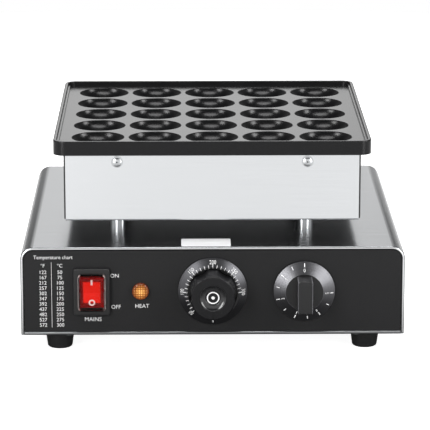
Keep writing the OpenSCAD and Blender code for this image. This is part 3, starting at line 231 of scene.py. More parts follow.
def spunDial(name, centre, cone):
    finish, tree, shader, place = newFinish(name, {"Roughness": cone["rough"]})
    radius = ringDistance(tree, place, centre)
    rings = addNode(tree, "ShaderNodeTexNoise", {
        "W": radius, "Scale": perMm(spun["ringMm"]), "Detail": 2.0}, noise_dimensions="1D").outputs["Fac"]
    ramp = addNode(tree, "ShaderNodeValToRGB", {"Fac": rings})
    dark, light = hexColour(cone["colour"], spun["dark"]), hexColour(cone["colour"])
    turned = setStops(ramp, [(0.35, dark), (0.65, light)])
    outside = addNode(tree, "ShaderNodeMapRange", {
        "Value": radius, "From Min": (cone["fromMm"] - spun["blendMm"]) * mm,
        "From Max": cone["fromMm"] * mm}).outputs[0]
    moulding = hexColour(spun["moulding"])
    # A painted highlight: the grip's long rounded edges, where they turn from front to side, get a lighter colour
    if "edgeHighlight" in cone:
        normal = addNode(tree, "ShaderNodeTexCoord").outputs["Normal"]
        bends = fadeLevels(tree, {"aside": axisPart(tree, normal, "X")}, paintedEdgeHighlight)
        edge = addNode(tree, "ShaderNodeMath", {0: bends["leavesFront"], 1: bends["meetsSide"]},
                       operation="MULTIPLY").outputs[0]
        moulding = addNode(tree, "ShaderNodeMix", {0: edge, 6: moulding, 7: hexColour(cone["edgeHighlight"])},
                           data_type="RGBA").outputs[2]
    tone = addNode(tree, "ShaderNodeMix", {0: outside, 6: moulding, 7: turned}, data_type="RGBA").outputs[2]
    grooves = addNode(tree, "ShaderNodeMath", {0: rings, 1: outside}, operation="MULTIPLY").outputs[0]
    dressShader(tree, shader, {"Base Color": tone, "Metallic": outside}, grooves, spun)
    return finish


# Red polycarbonate rocker with painted light: a brighter window in the middle of its face glows, and the rest is
# painted a deep red as shade, glowing only faintly
paintedRockerWindow = {"X": 14.4, "Z": 19.0, "softMm": 1.4, "rim": "#6E0808", "middle": "#DA1D0D", "rimGlow": 0.05,
          "middleGlow": 0.16}


def litRocker():
    finish, tree, shader, place = newFinish("paintedLightRedPolycarbonate", {"Roughness": 0.28, "IOR": 1.3})
    centred = addNode(tree, "ShaderNodeMapping", {"Vector": place, "Location": -rockerAt}).outputs["Vector"]
    soft = paintedRockerWindow["softMm"]
    rows = {axis: (axis, (paintedRockerWindow[axis] + soft) / 2 * mm, (paintedRockerWindow[axis] - soft) / 2 * mm, 0.0, 1.0)
            for axis in "XZ"}
    # The window is painted light on the rocker's face; outside it the colour and glow drop, painted shade on its
    # sides
    masks = fadeLevels(tree, {axis: axisPart(tree, centred, axis) for axis in rows}, rows)
    lit = addNode(tree, "ShaderNodeMath", {0: masks["X"], 1: masks["Z"]}, operation="MULTIPLY").outputs[0]
    ramp = addNode(tree, "ShaderNodeValToRGB", {"Fac": lit})
    tone = setStops(ramp, [(0.0, hexColour(paintedRockerWindow["rim"])), (1.0, hexColour(paintedRockerWindow["middle"]))])
    glow = addNode(tree, "ShaderNodeMapRange", {
        "Value": lit, "To Min": paintedRockerWindow["rimGlow"], "To Max": paintedRockerWindow["middleGlow"]}).outputs[0]
    dressShader(tree, shader, {"Base Color": tone, "Emission Color": tone, "Emission Strength": glow})
    return finish


# Clear moulded cap: thin, glossy, a faint warm cast from what lies under it; its left and right sides are made
# milky, a painted highlight where they turn
cap = {"tint": "#FBECEA", "turnFrom": 0.15, "turnFull": 0.7, "sideHighlightClear": 0.72, "rippleMm": 6.0,
       "strength": 0.1, "depthMm": 0.03}


def clearCap():
    finish, tree, shader, place = newFinish("clearMouldedCap", {
        "Base Color": hexColour(cap["tint"]), "Roughness": 0.03, "IOR": 1.15})
    # Only faces turned along X go milky: painted highlights at the cap's left and right edges
    normal = addNode(tree, "ShaderNodeNewGeometry").outputs["Normal"]
    clear = addNode(tree, "ShaderNodeMapRange", {
        "Value": axisPart(tree, normal, "X"), "From Min": cap["turnFrom"], "From Max": cap["turnFull"],
        "To Min": 1.0, "To Max": cap["sideHighlightClear"]}).outputs[0]
    ripple = addNode(tree, "ShaderNodeTexNoise", {"Vector": place, "Scale": perMm(cap["rippleMm"])})
    dressShader(tree, shader, {"Transmission Weight": clear}, ripple.outputs["Fac"], cap)
    return finish


# Amber acrylic lens: brighter over the lamp, brown at the rim; the grooves between its pyramids are painted dark
# as shade, so each pyramid is lighter in its middle
lens = {"radiusMm": 7.0, "cellMm": 2.0, "stops": ((0.05, "#F2B263"), (0.6, "#B8783A"), (0.95, "#6E2A12")),
        "groove": "#6A3A17", "middleGlow": 0.8, "rimGlow": 0.02}


def amberLens():
    finish, tree, shader, place = newFinish("amberAcrylicLens", {"Roughness": 0.12, "IOR": 1.49})
    radius = ringDistance(tree, place, lampAt)
    share = addNode(tree, "ShaderNodeMapRange", {
        "Value": radius, "From Max": lens["radiusMm"] * mm}).outputs[0]
    centred = addNode(tree, "ShaderNodeMapping", {"Vector": place, "Location": -lampAt})
    sides = addNode(tree, "ShaderNodeSeparateXYZ", {"Vector": centred.outputs["Vector"]})
    cell = lens["cellMm"] * mm
    across, up = [addNode(tree, "ShaderNodeMath", {0: sides.outputs[axis], 1: cell / 2},
                          operation="PINGPONG").outputs[0] for axis in "XZ"]
    nearest = addNode(tree, "ShaderNodeMath", {0: across, 1: up}, operation="MINIMUM").outputs[0]
    inside = addNode(tree, "ShaderNodeMapRange", {"Value": nearest, "From Max": cell / 4}).outputs[0]
    ramp = addNode(tree, "ShaderNodeValToRGB", {"Fac": share})
    ramp.color_ramp.elements.new(lens["stops"][1][0])
    tone = setStops(ramp, [(position, hexColour(colour)) for position, colour in lens["stops"]])
    # Painted shade: the grooves between the pyramids take a dark colour and glow
    grooved = addNode(tree, "ShaderNodeMix", {0: inside, 6: hexColour(lens["groove"]), 7: tone},
                      data_type="RGBA").outputs[2]
    glow = addNode(tree, "ShaderNodeMapRange", {
        "Value": share, "To Min": lens["middleGlow"], "To Max": lens["rimGlow"]}).outputs[0]
    dressShader(tree, shader, {"Base Color": grooved, "Emission Color": grooved, "Emission Strength": glow})
    return finish


# By the record's slots; the numbers are roughness and, for a grained finish, the grain and its depth in mm
baseGrey = "#A9ABAD"
finishes = {
    "nonstick_cast": nonstickCoat(),
    # The case's faces square to Z, its underside among them, are painted dark: painted shade in the gap over the
    # base
    "case_steel": brushedSteel("satinCaseSteel", "#ECEEF0", caseBrush, "Z", "#303031"),
    "base_steel": brushedSteel("brushedBaseSteel", baseGrey, baseBrush),
    "polished_steel": polishedSteel("polishedColumnSteel", "#DADCDE", 0.14),
    "panel_black": grainedFinish("powderCoatedPanel", "#202021", 0.6, 0.5, 0.02, specular=0.25),
    "knob_black": grainedFinish("mouldedKnobPlastic", "#131315", 0.36, 0.7, 0.01, specular=0.3),
    "switch_black": grainedFinish("mouldedSwitchPlastic", "#19191A", 0.4, 0.6, 0.01),
    "switch_red": litRocker(),
    "cap_clear": clearCap(),
    "lamp_amber": amberLens(),
    "foot_rubber": grainedFinish("mouldedRubber", "#252526", 0.6, 0.4, 0.03, specular=0.35),
    "fixing_steel": polishedSteel("zincPlatedSteel", "#D6D8DA", 0.2),
    "heater_sheath": grainedFinish("tintedHeaterSheath", "#4B4642", 0.5, 1.2, 0.02),
    "works_steel": polishedSteel("platedWorksSteel", "#A9ACAE", 0.35),
    "copper": polishedSteel("bareCopper", "#C07E52", 0.25),
    "brass_fixing": polishedSteel("plainBrass", "#CFAA55", 0.25),
    "block_ceramic": grainedFinish("whitePorcelain", "#E9E6DD", 0.3, 1.0, 0.005, dark=0.95),
    "lead_sleeve": grainedFinish("wovenLeadSleeve", "#C8BFA8", 0.8, 0.5, 0.05),
}
# Pieces whose finish departs from their slot's
# The end panels' front and back cut edges are painted dark: painted shade in the gap beside the case front
shadedEdgeSteel = brushedSteel("paintedEdgeShadeCaseSteel", "#DADCDE", caseBrush, "Y", "#2C2C2D")
ownFinishes = {
    "end_panel_left": shadedEdgeSteel,
    "end_panel_right": shadedEdgeSteel,
    # Faces of the base cover square to Y, its hem among them, are painted bright: a painted highlight
    "base_cover": brushedSteel("paintedHemHighlightBaseSteel", baseGrey, baseBrush, "Y", "#F4F5F6", paintedMetal=1.0),
    "bottom_plate": polishedSteel("plainBottomSteel", "#9A9C9E", 0.3),
    "thermostat_scale_ring": spunDial("spunScaleRing", thermostatAt, ringCone),
    "timer_knob": spunDial("spunTimerSkirt", timerAt, skirtCone),
}
for part in frame["record"]["subparts"]:
    node = part["node"]
    nodes[node].material_slots[0].material = ownFinishes.get(node) or finishes[part["material_slot"]]
print("finishes set:", len(finishes))


def plainMesh(source):
    bpy.context.view_layer.update()
    graph = bpy.context.evaluated_depsgraph_get()
    mesh = bpy.data.meshes.new_from_object(source.evaluated_get(graph))
    data = source.data
    bpy.data.objects.remove(source)
    (bpy.data.curves if isinstance(data, bpy.types.Curve) else bpy.data.meshes).remove(data)
    return mesh


def newTree(name, inputs):
    tree = bpy.data.node_groups.new(name, "GeometryNodeTree")
    for label, kind in inputs.items():
        tree.interface.new_socket(label, in_out="INPUT", socket_type="NodeSocket" + kind)
    tree.interface.new_socket("Geometry", in_out="OUTPUT", socket_type="NodeSocketGeometry")
    return tree, addNode(tree, "NodeGroupInput").outputs, addNode(tree, "NodeGroupOutput").inputs


def runTree(tree, values, points=()):
    mesh = bpy.data.meshes.new(tree.name)
    mesh.from_pydata([tuple(point) for point in points], [], [])
    holder = bpy.data.objects.new(tree.name, mesh)
    scene.collection.objects.link(holder)
    modifier = holder.modifiers.new(tree.name, "NODES")
    modifier.node_group = tree
    for socket in tree.interface.items_tree:
        if socket.item_type == "SOCKET" and socket.in_out == "INPUT" and socket.name in values:
            modifier[socket.identifier] = values[socket.name]
    return plainMesh(holder)


def meshFrom(build, name):
    mesh = bpy.data.meshes.new(name)
    build.to_mesh(mesh)
    build.free()
    return mesh


def joinPiece(name, meshes, finish, body):
    build = bmesh.new()
    for mesh in meshes:
        build.from_mesh(mesh)
        bpy.data.meshes.remove(mesh)
    bmesh.ops.recalc_face_normals(build, faces=build.faces)
    joined = meshFrom(build, name)
    joined.materials.clear()
    joined.materials.append(finish)
    piece = bpy.data.objects.new(name, joined)
    scene.collection.objects.link(piece)
    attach(piece, body)
    return piece


def axesMatrix(right, up, out, origin):
    return Matrix.Translation(origin) @ Matrix((right, up, out)).transposed().to_4x4()


# Standing upright and facing the front
def frontSpot(origin):
    return axesMatrix((1, 0, 0), (0, 0, 1), (0, -1, 0), origin)


# A place on the panel in mm: x from its middle, z from the line of the controls
def panelSpot(x, z):
    return frontSpot(Vector((x * mm, panelY, thermostatAt.z + z * mm)))


# A place on a dial's cone: angle clockwise from the top, radius and height above the panel in mm
def dialSpot(centre, angle, radius, height, slope):
    turn = math.radians(angle)
    outward = Vector((math.sin(turn), 0, math.cos(turn)))
    across = Vector((math.cos(turn), 0, -math.sin(turn)))
    lie = math.radians(slope)
    front = Vector((0, -1, 0))
    up = outward * math.cos(lie) - front * math.sin(lie)
    out = outward * math.sin(lie) + front * math.cos(lie)
    origin = Vector((centre.x, panelY, centre.z)) + outward * radius * mm + front * height * mm
    return axesMatrix(across, up, out, origin)


# A closed ring swept round the spot from a section of radius and height in mm
def sweptRing(section, spot, sides, smooth=False):
    build = bmesh.new()
    rows = [[build.verts.new((radius * mm * math.cos(2 * math.pi * side / sides),
                              radius * mm * math.sin(2 * math.pi * side / sides), height * mm))
             for side in range(sides)] for radius, height in section]
    for low, high in zip(rows, rows[1:] + rows[:1]):
        for side in range(sides):
            after = (side + 1) % sides
            build.faces.new((low[side], low[after], high[after], high[side])).smooth = smooth
    mesh = meshFrom(build, "ring")
    mesh.transform(spot)
    return mesh


# White screen ink in mm, flat and slightly uneven where it is thin. It stands thick to each side of its
# place; capShare is how tall capitals are in the font, bold how far a stroke is fattened on each side.
ink = {"thick": 0.04, "capShare": 0.69, "bold": -0.02, "curveSteps": 3, "discSides": 32, "ringSides": 48}
inkFinish = grainedFinish("whiteScreenInk", "#F4F4F4", 0.6, 0.8, 0.005, dark=0.9)


def inkText(words, tall, spot, narrow=1.0):
    data = bpy.data.curves.new("ink", "FONT")
    data.body = words
    data.align_x = "CENTER"
    data.size = tall * mm / ink["capShare"]
    data.extrude = ink["thick"] * mm
    data.offset = ink["bold"] * mm
    data.resolution_u = ink["curveSteps"]
    holder = bpy.data.objects.new("ink", data)
    scene.collection.objects.link(holder)
    mesh = plainMesh(holder)
    mesh.transform(spot @ Matrix.Diagonal((narrow, 1, 1, 1)) @ Matrix.Translation((0, -tall * mm / 2, 0)))
    return mesh


def inkBar(wide, tall, spot):
    build = bmesh.new()
    size = Matrix.Diagonal((wide * mm, tall * mm, 2 * ink["thick"] * mm, 1))
    bmesh.ops.create_cube(build, size=1, matrix=spot @ size)
    return meshFrom(build, "bar")


def inkDisc(radius, spot):
    build = bmesh.new()
    bmesh.ops.create_cone(build, cap_ends=True, segments=ink["discSides"], radius1=radius * mm,
                          radius2=radius * mm, depth=2 * ink["thick"] * mm, matrix=spot)
    return meshFrom(build, "disc")


def inkRing(outer, stroke, spot):
    thick, inner = ink["thick"], outer - stroke
    section = [(outer, -thick), (outer, thick), (inner, thick), (inner, -thick)]
    return sweptRing(section, spot, ink["ringSides"])


# Straight dial marks, made once and set round the axis by Geometry Nodes
def tickTree():
    tree, given, result = newTree("dialTicks", {
        "Count": "Int", "Step": "Float", "Start": "Float", "Radius": "Float", "Height": "Float",
        "Slope": "Float", "Size": "Vector", "Centre": "Vector", "Ink": "Material"})
    bar = addNode(tree, "GeometryNodeMeshCube", {"Size": given["Size"]})
    lean = addNode(tree, "ShaderNodeCombineXYZ", {"X": given["Slope"]})
    stand = addNode(tree, "ShaderNodeCombineXYZ", {"Y": given["Radius"], "Z": given["Height"]})
    placed = addNode(tree, "GeometryNodeTransform", {
        "Geometry": bar.outputs["Mesh"], "Translation": stand.outputs[0], "Rotation": lean.outputs[0]})
    line = addNode(tree, "GeometryNodeMeshLine", {"Count": given["Count"], "Offset": (0, 0, 0)})
    index = addNode(tree, "GeometryNodeInputIndex")
    angle = addNode(tree, "ShaderNodeMath", {0: index.outputs[0], 1: given["Step"], 2: given["Start"]},
                    operation="MULTIPLY_ADD")
    turn = addNode(tree, "ShaderNodeCombineXYZ", {"Z": angle.outputs[0]})
    spread = addNode(tree, "GeometryNodeInstanceOnPoints", {
        "Points": line.outputs["Mesh"], "Instance": placed.outputs[0], "Rotation": turn.outputs[0]})
    real = addNode(tree, "GeometryNodeRealizeInstances", {"Geometry": spread.outputs[0]})
    facing = addNode(tree, "GeometryNodeTransform", {
        "Geometry": real.outputs[0], "Translation": given["Centre"], "Rotation": (math.pi / 2, 0, 0)})
    inked = addNode(tree, "GeometryNodeSetMaterial", {
        "Geometry": facing.outputs[0], "Material": given["Ink"]})
    tree.links.new(inked.outputs[0], result["Geometry"])
    return tree


ticks = tickTree()


# Angles in degrees clockwise from the top, sizes in mm
def dialTicks(centre, tick, start, radius, height, slope, long):
    return runTree(ticks, {
        "Count": tick["count"], "Step": -math.radians(tick["step"]), "Start": -math.radians(start),
        "Radius": radius * mm, "Height": height * mm, "Slope": -math.radians(slope),
        "Size": (tick["wide"] * mm, long * mm, 2 * ink["thick"] * mm),
        "Centre": (centre.x, panelY, centre.z), "Ink": inkFinish})


# Words and the temperature table on the panel; a caption has its x, z and height
captions = [("ON", -81.6, 13.2, 3.2), ("OFF", -80.6, -13.6, 3.2), ("HEAT", -58.9, -12.9, 3.3),
            ("MAINS", -99.8, -24.2, 3.4)]
table = {"heading": "Temperature chart", "headingAt": (-132.6, 29.2), "headingTall": 3.1,
         "headingNarrow": 0.94, "columns": (-141.3, -127.1), "units": ("°F", "°C"), "unitZ": 22.0,
         "tall": 3.0, "firstZ": 16.4, "pitch": 4.55, "rows": 11, "firstCelsius": 50, "stepCelsius": 25,
         "dividerAt": (-134.1, -3.2), "dividerSize": (0.27, 56.1)}
prints = [inkText(table["heading"], table["headingTall"], panelSpot(*table["headingAt"]),
                  table["headingNarrow"])]
prints += [inkText(words, tall, panelSpot(x, z)) for words, x, z, tall in captions]
for x, unit in zip(table["columns"], table["units"]):
    prints.append(inkText(unit, table["tall"], panelSpot(x, table["unitZ"])))
for row in range(table["rows"]):
    celsius = table["firstCelsius"] + table["stepCelsius"] * row
    z = table["firstZ"] - table["pitch"] * row
    for x, value in zip(table["columns"], (celsius * 9 // 5 + 32, celsius)):
        prints.append(inkText(str(value), table["tall"], panelSpot(x, z)))
prints.append(inkBar(*table["dividerSize"], panelSpot(*table["dividerAt"])))
joinPiece("panel_print", prints, inkFinish, "housing")

# Thermostat scale: ticks over the ring's inner edge, numbers on its cone and the stop at the bottom
ring = {"start": -135, "lip": 22.0, "lipHeight": 6.0, "lipTick": 1.1, "slope": 33.9, "numberStep": 45,
        "numbers": (50, 100, 150, 200, 250, 300), "numberSpot": (25.5, 3.65), "tall": 3.5, "narrow": 0.75,
        "zeroAngle": 180, "zeroTall": 2.4}
ringTicks = [{"count": 26, "step": 9, "long": 1.9, "wide": 0.45},
             {"count": 6, "step": 45, "long": 2.6, "wide": 0.75}]
slopeCos = math.cos(math.radians(ring["slope"]))
slopeSin = math.sin(math.radians(ring["slope"]))
scale = []
for tick in ringTicks:
    half = tick["long"] / 2
    scale.append(dialTicks(thermostatAt, tick, ring["start"], ring["lip"] - ring["lipTick"] / 2,
                           ring["lipHeight"], 0, ring["lipTick"]))
    scale.append(dialTicks(thermostatAt, tick, ring["start"], ring["lip"] + half * slopeCos,
                           ring["lipHeight"] - half * slopeSin, ring["slope"], tick["long"]))
for order, number in enumerate(ring["numbers"]):
    angle = ring["start"] + ring["numberStep"] * order
    spot = dialSpot(thermostatAt, angle, *ring["numberSpot"], ring["slope"])
    scale.append(inkText(str(number), ring["tall"], spot, ring["narrow"]))
zeroSpot = dialSpot(thermostatAt, ring["zeroAngle"], *ring["numberSpot"], ring["slope"])
scale.append(inkText("0", ring["zeroTall"], zeroSpot))
joinPiece("thermostat_scale_print", scale, inkFinish, "housing")

# Plain ring and dot in the dish of the thermostat knob. The dish runs up to its wall in a polished
# hollow curve, which catches the two strip lights; its back is sunk into the knob.
emblem = {"height": 22.3, "ring": 5.2, "stroke": 1.0, "dot": 1.4}
hollow = {"inner": 6.3, "outer": 10.7, "slope": 38, "steps": 10, "sides": 96, "lip": 0.2, "sink": 0.1,
          "foot": 9.9}
dish = dialSpot(thermostatAt, 0, 0, emblem["height"], 0)


def hollowMesh():
    inner, outer, sink = hollow["inner"], hollow["outer"], hollow["sink"]
    bend = (outer - inner) / math.sin(math.radians(hollow["slope"]))
    turns = [math.radians(hollow["slope"] * step / hollow["steps"]) for step in range(hollow["steps"] + 1)]
    section = [(inner + bend * math.sin(turn), bend * (1 - math.cos(turn))) for turn in turns]
    section += [(outer + hollow["lip"], section[-1][1] - sink), (hollow["foot"], -sink), (inner, -sink)]
    return sweptRing(section, dish, hollow["sides"], smooth=True)


hollowFinish = grainedFinish("polishedKnobPlastic", "#18181A", 0.13, 0.7, 0.002, specular=0.9)
joinPiece("knob_dish_hollow", [hollowMesh()], hollowFinish, "thermostat_dial")
emblemMeshes = [inkRing(emblem["ring"], emblem["stroke"], dish), inkDisc(emblem["dot"], dish)]
joinPiece("knob_ring_print", emblemMeshes, inkFinish, "thermostat_dial")

# Timer scale on the knob's skirt, running against the clock: long marks at the hours, short ones between
skirt = {"slope": 28.2, "edge": 25.5, "edgeHeight": 2.2, "hourStep": -53.4, "hours": 6, "numberRadius": 18.7,
         "tall": 3.0, "narrow": 0.9}
skirtTicks = [{"count": 6, "start": 0, "radius": 22.7, "wide": 0.75, "long": 3.4},
              {"count": 5, "start": skirt["hourStep"] / 2, "radius": 22.3, "wide": 0.65, "long": 3.0}]


def skirtHeight(radius):
    return skirt["edgeHeight"] + (skirt["edge"] - radius) * math.tan(math.radians(skirt["slope"]))


marks = []
for tick in skirtTicks:
    tick["step"] = skirt["hourStep"]
    marks.append(dialTicks(timerAt, tick, tick["start"], tick["radius"], skirtHeight(tick["radius"]),
                           skirt["slope"], tick["long"]))
for hour in range(skirt["hours"]):
    radius = skirt["numberRadius"]
    spot = dialSpot(timerAt, skirt["hourStep"] * hour, radius, skirtHeight(radius), skirt["slope"])
    marks.append(inkText(str(hour), skirt["tall"], spot, skirt["narrow"]))
joinPiece("timer_scale_print", marks, inkFinish, "timer_dial")

# The two signs on the rocker's faces, which rise from the dip at the pivot to the rim at half its length
signs = {"dip": 3.8, "rim": 5.5, "half": 13.0, "barY": 10.0, "barSize": (1.6, 5.2), "ringY": -8.6,
         "ringRadius": 2.7, "ringStroke": 1.2}


def rockerSpot(y):
    lean = math.atan2(signs["rim"] - signs["dip"], signs["half"]) * (1 if y > 0 else -1)
    height = signs["dip"] + (signs["rim"] - signs["dip"]) * abs(y) / signs["half"]
    up, out = (0, math.cos(lean), math.sin(lean)), (0, -math.sin(lean), math.cos(lean))
    local = axesMatrix((1, 0, 0), up, out, Vector((0, y * mm, height * mm)))
    return frontSpot(rockerAt) @ Matrix.Rotation(rockerTilt, 4, "X") @ local


signMeshes = [inkBar(*signs["barSize"], rockerSpot(signs["barY"])),
              inkRing(signs["ringRadius"], signs["ringStroke"], rockerSpot(signs["ringY"]))]
joinPiece("rocker_signs", signMeshes, inkFinish, "rocker")
print("marks printed")


# Cross-recess pan head screws, one tree for all of them; each is turned by chance
def screwTree():
    tree, given, result = newTree("panHeadScrews", {
        "Geometry": "Geometry", "Head Radius": "Float", "Head Height": "Float", "Dome Radius": "Float",
        "Dome Place": "Vector", "Head Place": "Vector", "Shank Radius": "Float", "Shank Length": "Float",
        "Shank Place": "Vector", "Slot Long": "Vector", "Slot Short": "Vector", "Slot Place": "Vector",
        "Facing": "Vector", "Metal": "Material"})

    def placed(kind, inputs, where):
        shape = addNode(tree, kind, inputs)
        return addNode(tree, "GeometryNodeTransform", {
            "Geometry": shape.outputs["Mesh"], "Translation": given[where]})

    head = placed("GeometryNodeMeshCylinder", {"Vertices": 40, "Radius": given["Head Radius"],
                                               "Depth": given["Head Height"]}, "Head Place")
    dome = placed("GeometryNodeMeshUVSphere", {"Segments": 64, "Rings": 48, "Radius": given["Dome Radius"]},
                  "Dome Place")
    rounded = addNode(tree, "GeometryNodeMeshBoolean", operation="INTERSECT")
    for solid in (head, dome):
        tree.links.new(solid.outputs[0], rounded.inputs["Mesh 2"])
    cut = addNode(tree, "GeometryNodeMeshBoolean", {"Mesh 1": rounded.outputs["Mesh"]},
                  operation="DIFFERENCE")
    for size in ("Slot Long", "Slot Short"):
        blade = placed("GeometryNodeMeshCube", {"Size": given[size]}, "Slot Place")
        tree.links.new(blade.outputs[0], cut.inputs["Mesh 2"])
    shank = placed("GeometryNodeMeshCylinder", {"Vertices": 24, "Radius": given["Shank Radius"],
                                                "Depth": given["Shank Length"]}, "Shank Place")
    whole = addNode(tree, "GeometryNodeJoinGeometry")
    for solid in (cut, shank):
        tree.links.new(solid.outputs[0], whole.inputs[0])
    clocked = addNode(tree, "FunctionNodeRandomValue", {"Seed": 7}, data_type="FLOAT")
    spin = addNode(tree, "ShaderNodeCombineXYZ", {"Z": clocked.outputs[1]})
    aimed = addNode(tree, "FunctionNodeRotateEuler", {
        "Rotation": given["Facing"], "Rotate By": spin.outputs[0]}, space="LOCAL")
    spread = addNode(tree, "GeometryNodeInstanceOnPoints", {
        "Points": given["Geometry"], "Instance": whole.outputs[0], "Rotation": aimed.outputs[0]})
    real = addNode(tree, "GeometryNodeRealizeInstances", {"Geometry": spread.outputs[0]})
    plated = addNode(tree, "GeometryNodeSetMaterial", {
        "Geometry": real.outputs[0], "Material": given["Metal"]})
    tree.links.new(plated.outputs[0], result["Geometry"])
    return tree


# Sizes of the sets in mm, and what they share as parts of a head's width or height
screwSets = {
    "case_screws": {"upright": True, "head": 7.6, "tall": 2.4, "shank": 4.0, "long": 9.0},
    "cover_screws": {"upright": False, "head": 7.4, "tall": 2.2, "shank": 4.0, "long": 4.0},
    "panel_screws": {"upright": False, "head": 7.4, "tall": 2.2, "shank": 4.0, "long": 4.0},
    "foot_screws": {"upright": False, "head": 9.0, "tall": 3.5, "shank": 5.0, "long": 13.0},
}
headShares = {"dome": 1.05, "slotLong": 0.55, "slotWide": 0.15, "slotPlace": 0.95}
shankOverlap = 0.05
screws = screwTree()


# Heads stand on their points and face along local Z
def screwMesh(points, facing, size):
    head, tall, long = size["head"] * mm, size["tall"] * mm, size["long"] * mm
    dome, slotLong, slotWide = [head * headShares[name] for name in ("dome", "slotLong", "slotWide")]
    return runTree(screws, {
        "Head Radius": head / 2, "Head Height": tall, "Head Place": (0, 0, tall / 2),
        "Dome Radius": dome, "Dome Place": (0, 0, tall - dome),
        "Shank Radius": size["shank"] / 2 * mm, "Shank Length": long,
        "Shank Place": (0, 0, shankOverlap * mm - long / 2),
        "Slot Long": (slotLong, slotWide, tall), "Slot Short": (slotWide, slotLong, tall),
        "Slot Place": (0, 0, tall * headShares["slotPlace"]),
        "Facing": facing, "Metal": finishes["fixing_steel"]}, points)


# Each set stands where the frame has it: the corners of its box, less half a head
for name, size in screwSets.items():
    low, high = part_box(name)
    half, seat = size["head"] / 2 * mm, size["tall"] * mm
    acrossX = (low.x + half, high.x - half)
    if size["upright"]:
        middleZ = (low.z + high.z) / 2
        meshes = [screwMesh([Vector((x, y, middleZ)) for x in acrossX], (lean, 0, 0), size)
                  for y, lean in ((low.y + seat, math.pi / 2), (high.y - seat, -math.pi / 2))]
    else:
        corners = [Vector((x, y, low.z + seat)) for x in acrossX for y in (low.y + half, high.y - half)]
        meshes = [screwMesh(corners, (math.pi, 0, 0), size)]
    piece = joinPiece(name.replace("screws", "cross_screws"), meshes, finishes["fixing_steel"], "housing")
    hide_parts(name)
print("screws set")

# Blank silver label on the base's top: satin film with rounded corners
label = {"x": (-26.1, 15.1), "y": (-147.6, -122.4), "corner": 1.6, "cornerSteps": 6, "thick": 0.15,
         "colour": "#DCDCDD"}


def labelMesh():
    build = bmesh.new()
    (left, right), (front, back) = label["x"], label["y"]
    corner, steps = label["corner"], label["cornerSteps"]
    outline = []
    for centreX, centreY, start in ((right - corner, back - corner, 0), (left + corner, back - corner, 90),
                                    (left + corner, front + corner, 180),
                                    (right - corner, front + corner, 270)):
        for step in range(steps + 1):
            turn = math.radians(start + 90 / steps * step)
            outline.append(((centreX + corner * math.cos(turn)) * mm,
                            (centreY + corner * math.sin(turn)) * mm))
    low = [build.verts.new((x, y, baseTop)) for x, y in outline]
    high = [build.verts.new((x, y, baseTop + label["thick"] * mm)) for x, y in outline]
    build.faces.new(high)
    build.faces.new(reversed(low))
    for step in range(len(outline)):
        after = (step + 1) % len(outline)
        build.faces.new((low[step], low[after], high[after], high[step]))
    return meshFrom(build, "label")


labelFinish = grainedFinish("silverLabelFilm", label["colour"], 0.7, 1.5, 0.004, specular=0.2, dark=0.95)
joinPiece("base_label", [labelMesh()], labelFinish, "housing")
print("label laid")

# Studio: plain white to the camera and through the cap, even and low as light. Mirrors see a backdrop
# behind the object, and in front of it a room that is bright below and dim above.
ambientLevel = 0.18
mirrorFades = {
    "behind": ("Y", -0.15, 0.5, 0.0, 1.0),  # from the room in front to the backdrop
    "ahead": ("Z", 0.35, 0.6, 0.9, 0.12),
    "rise": ("Z", 0.08, 0.19, 0.22, 1.25),  # the backdrop is dim at the horizon,
    "fall": ("Z", 0.45, 0.7, 1.0, 0.4),  # overhead
    "wide": ("across", 0.03, 0.2, 1.0, 0.14),  # and to both sides
}
white = (1, 1, 1, 1)
world = bpy.data.worlds.new("studioWorld")
scene.world = world
world.use_nodes = True
worldTree = world.node_tree
worldTree.nodes.clear()
direction = addNode(worldTree, "ShaderNodeTexCoord").outputs["Generated"]
sides = addNode(worldTree, "ShaderNodeSeparateXYZ", {"Vector": direction}).outputs
sources = {"Y": sides["Y"], "Z": sides["Z"], "across": axisPart(worldTree, direction, "X")}
levels = fadeLevels(worldTree, sources, mirrorFades)
backdrop = levels["rise"]
for dimmer in ("fall", "wide"):
    backdrop = addNode(worldTree, "ShaderNodeMath", {0: backdrop, 1: levels[dimmer]},
                       operation="MULTIPLY").outputs[0]
mirrored = addNode(worldTree, "ShaderNodeMix", {
    "Factor": levels["behind"], "A": levels["ahead"], "B": backdrop}, data_type="FLOAT").outputs[0]
paths = addNode(worldTree, "ShaderNodeLightPath").outputs
seen = addNode(worldTree, "ShaderNodeMath", {0: paths["Is Camera Ray"], 1: paths["Is Transmission Ray"]},
               operation="MAXIMUM").outputs[0]
ambient, shaped, plain = [
    addNode(worldTree, "ShaderNodeBackground", {"Color": white, "Strength": strength}).outputs[0]
    for strength in (ambientLevel, mirrored, 1.0)]
lit = addNode(worldTree, "ShaderNodeMixShader", {0: paths["Is Glossy Ray"], 1: ambient, 2: shaped}).outputs[0]
shown = addNode(worldTree, "ShaderNodeMixShader", {0: seen, 1: lit, 2: plain}).outputs[0]
addNode(worldTree, "ShaderNodeOutputWorld", {"Surface": shown})

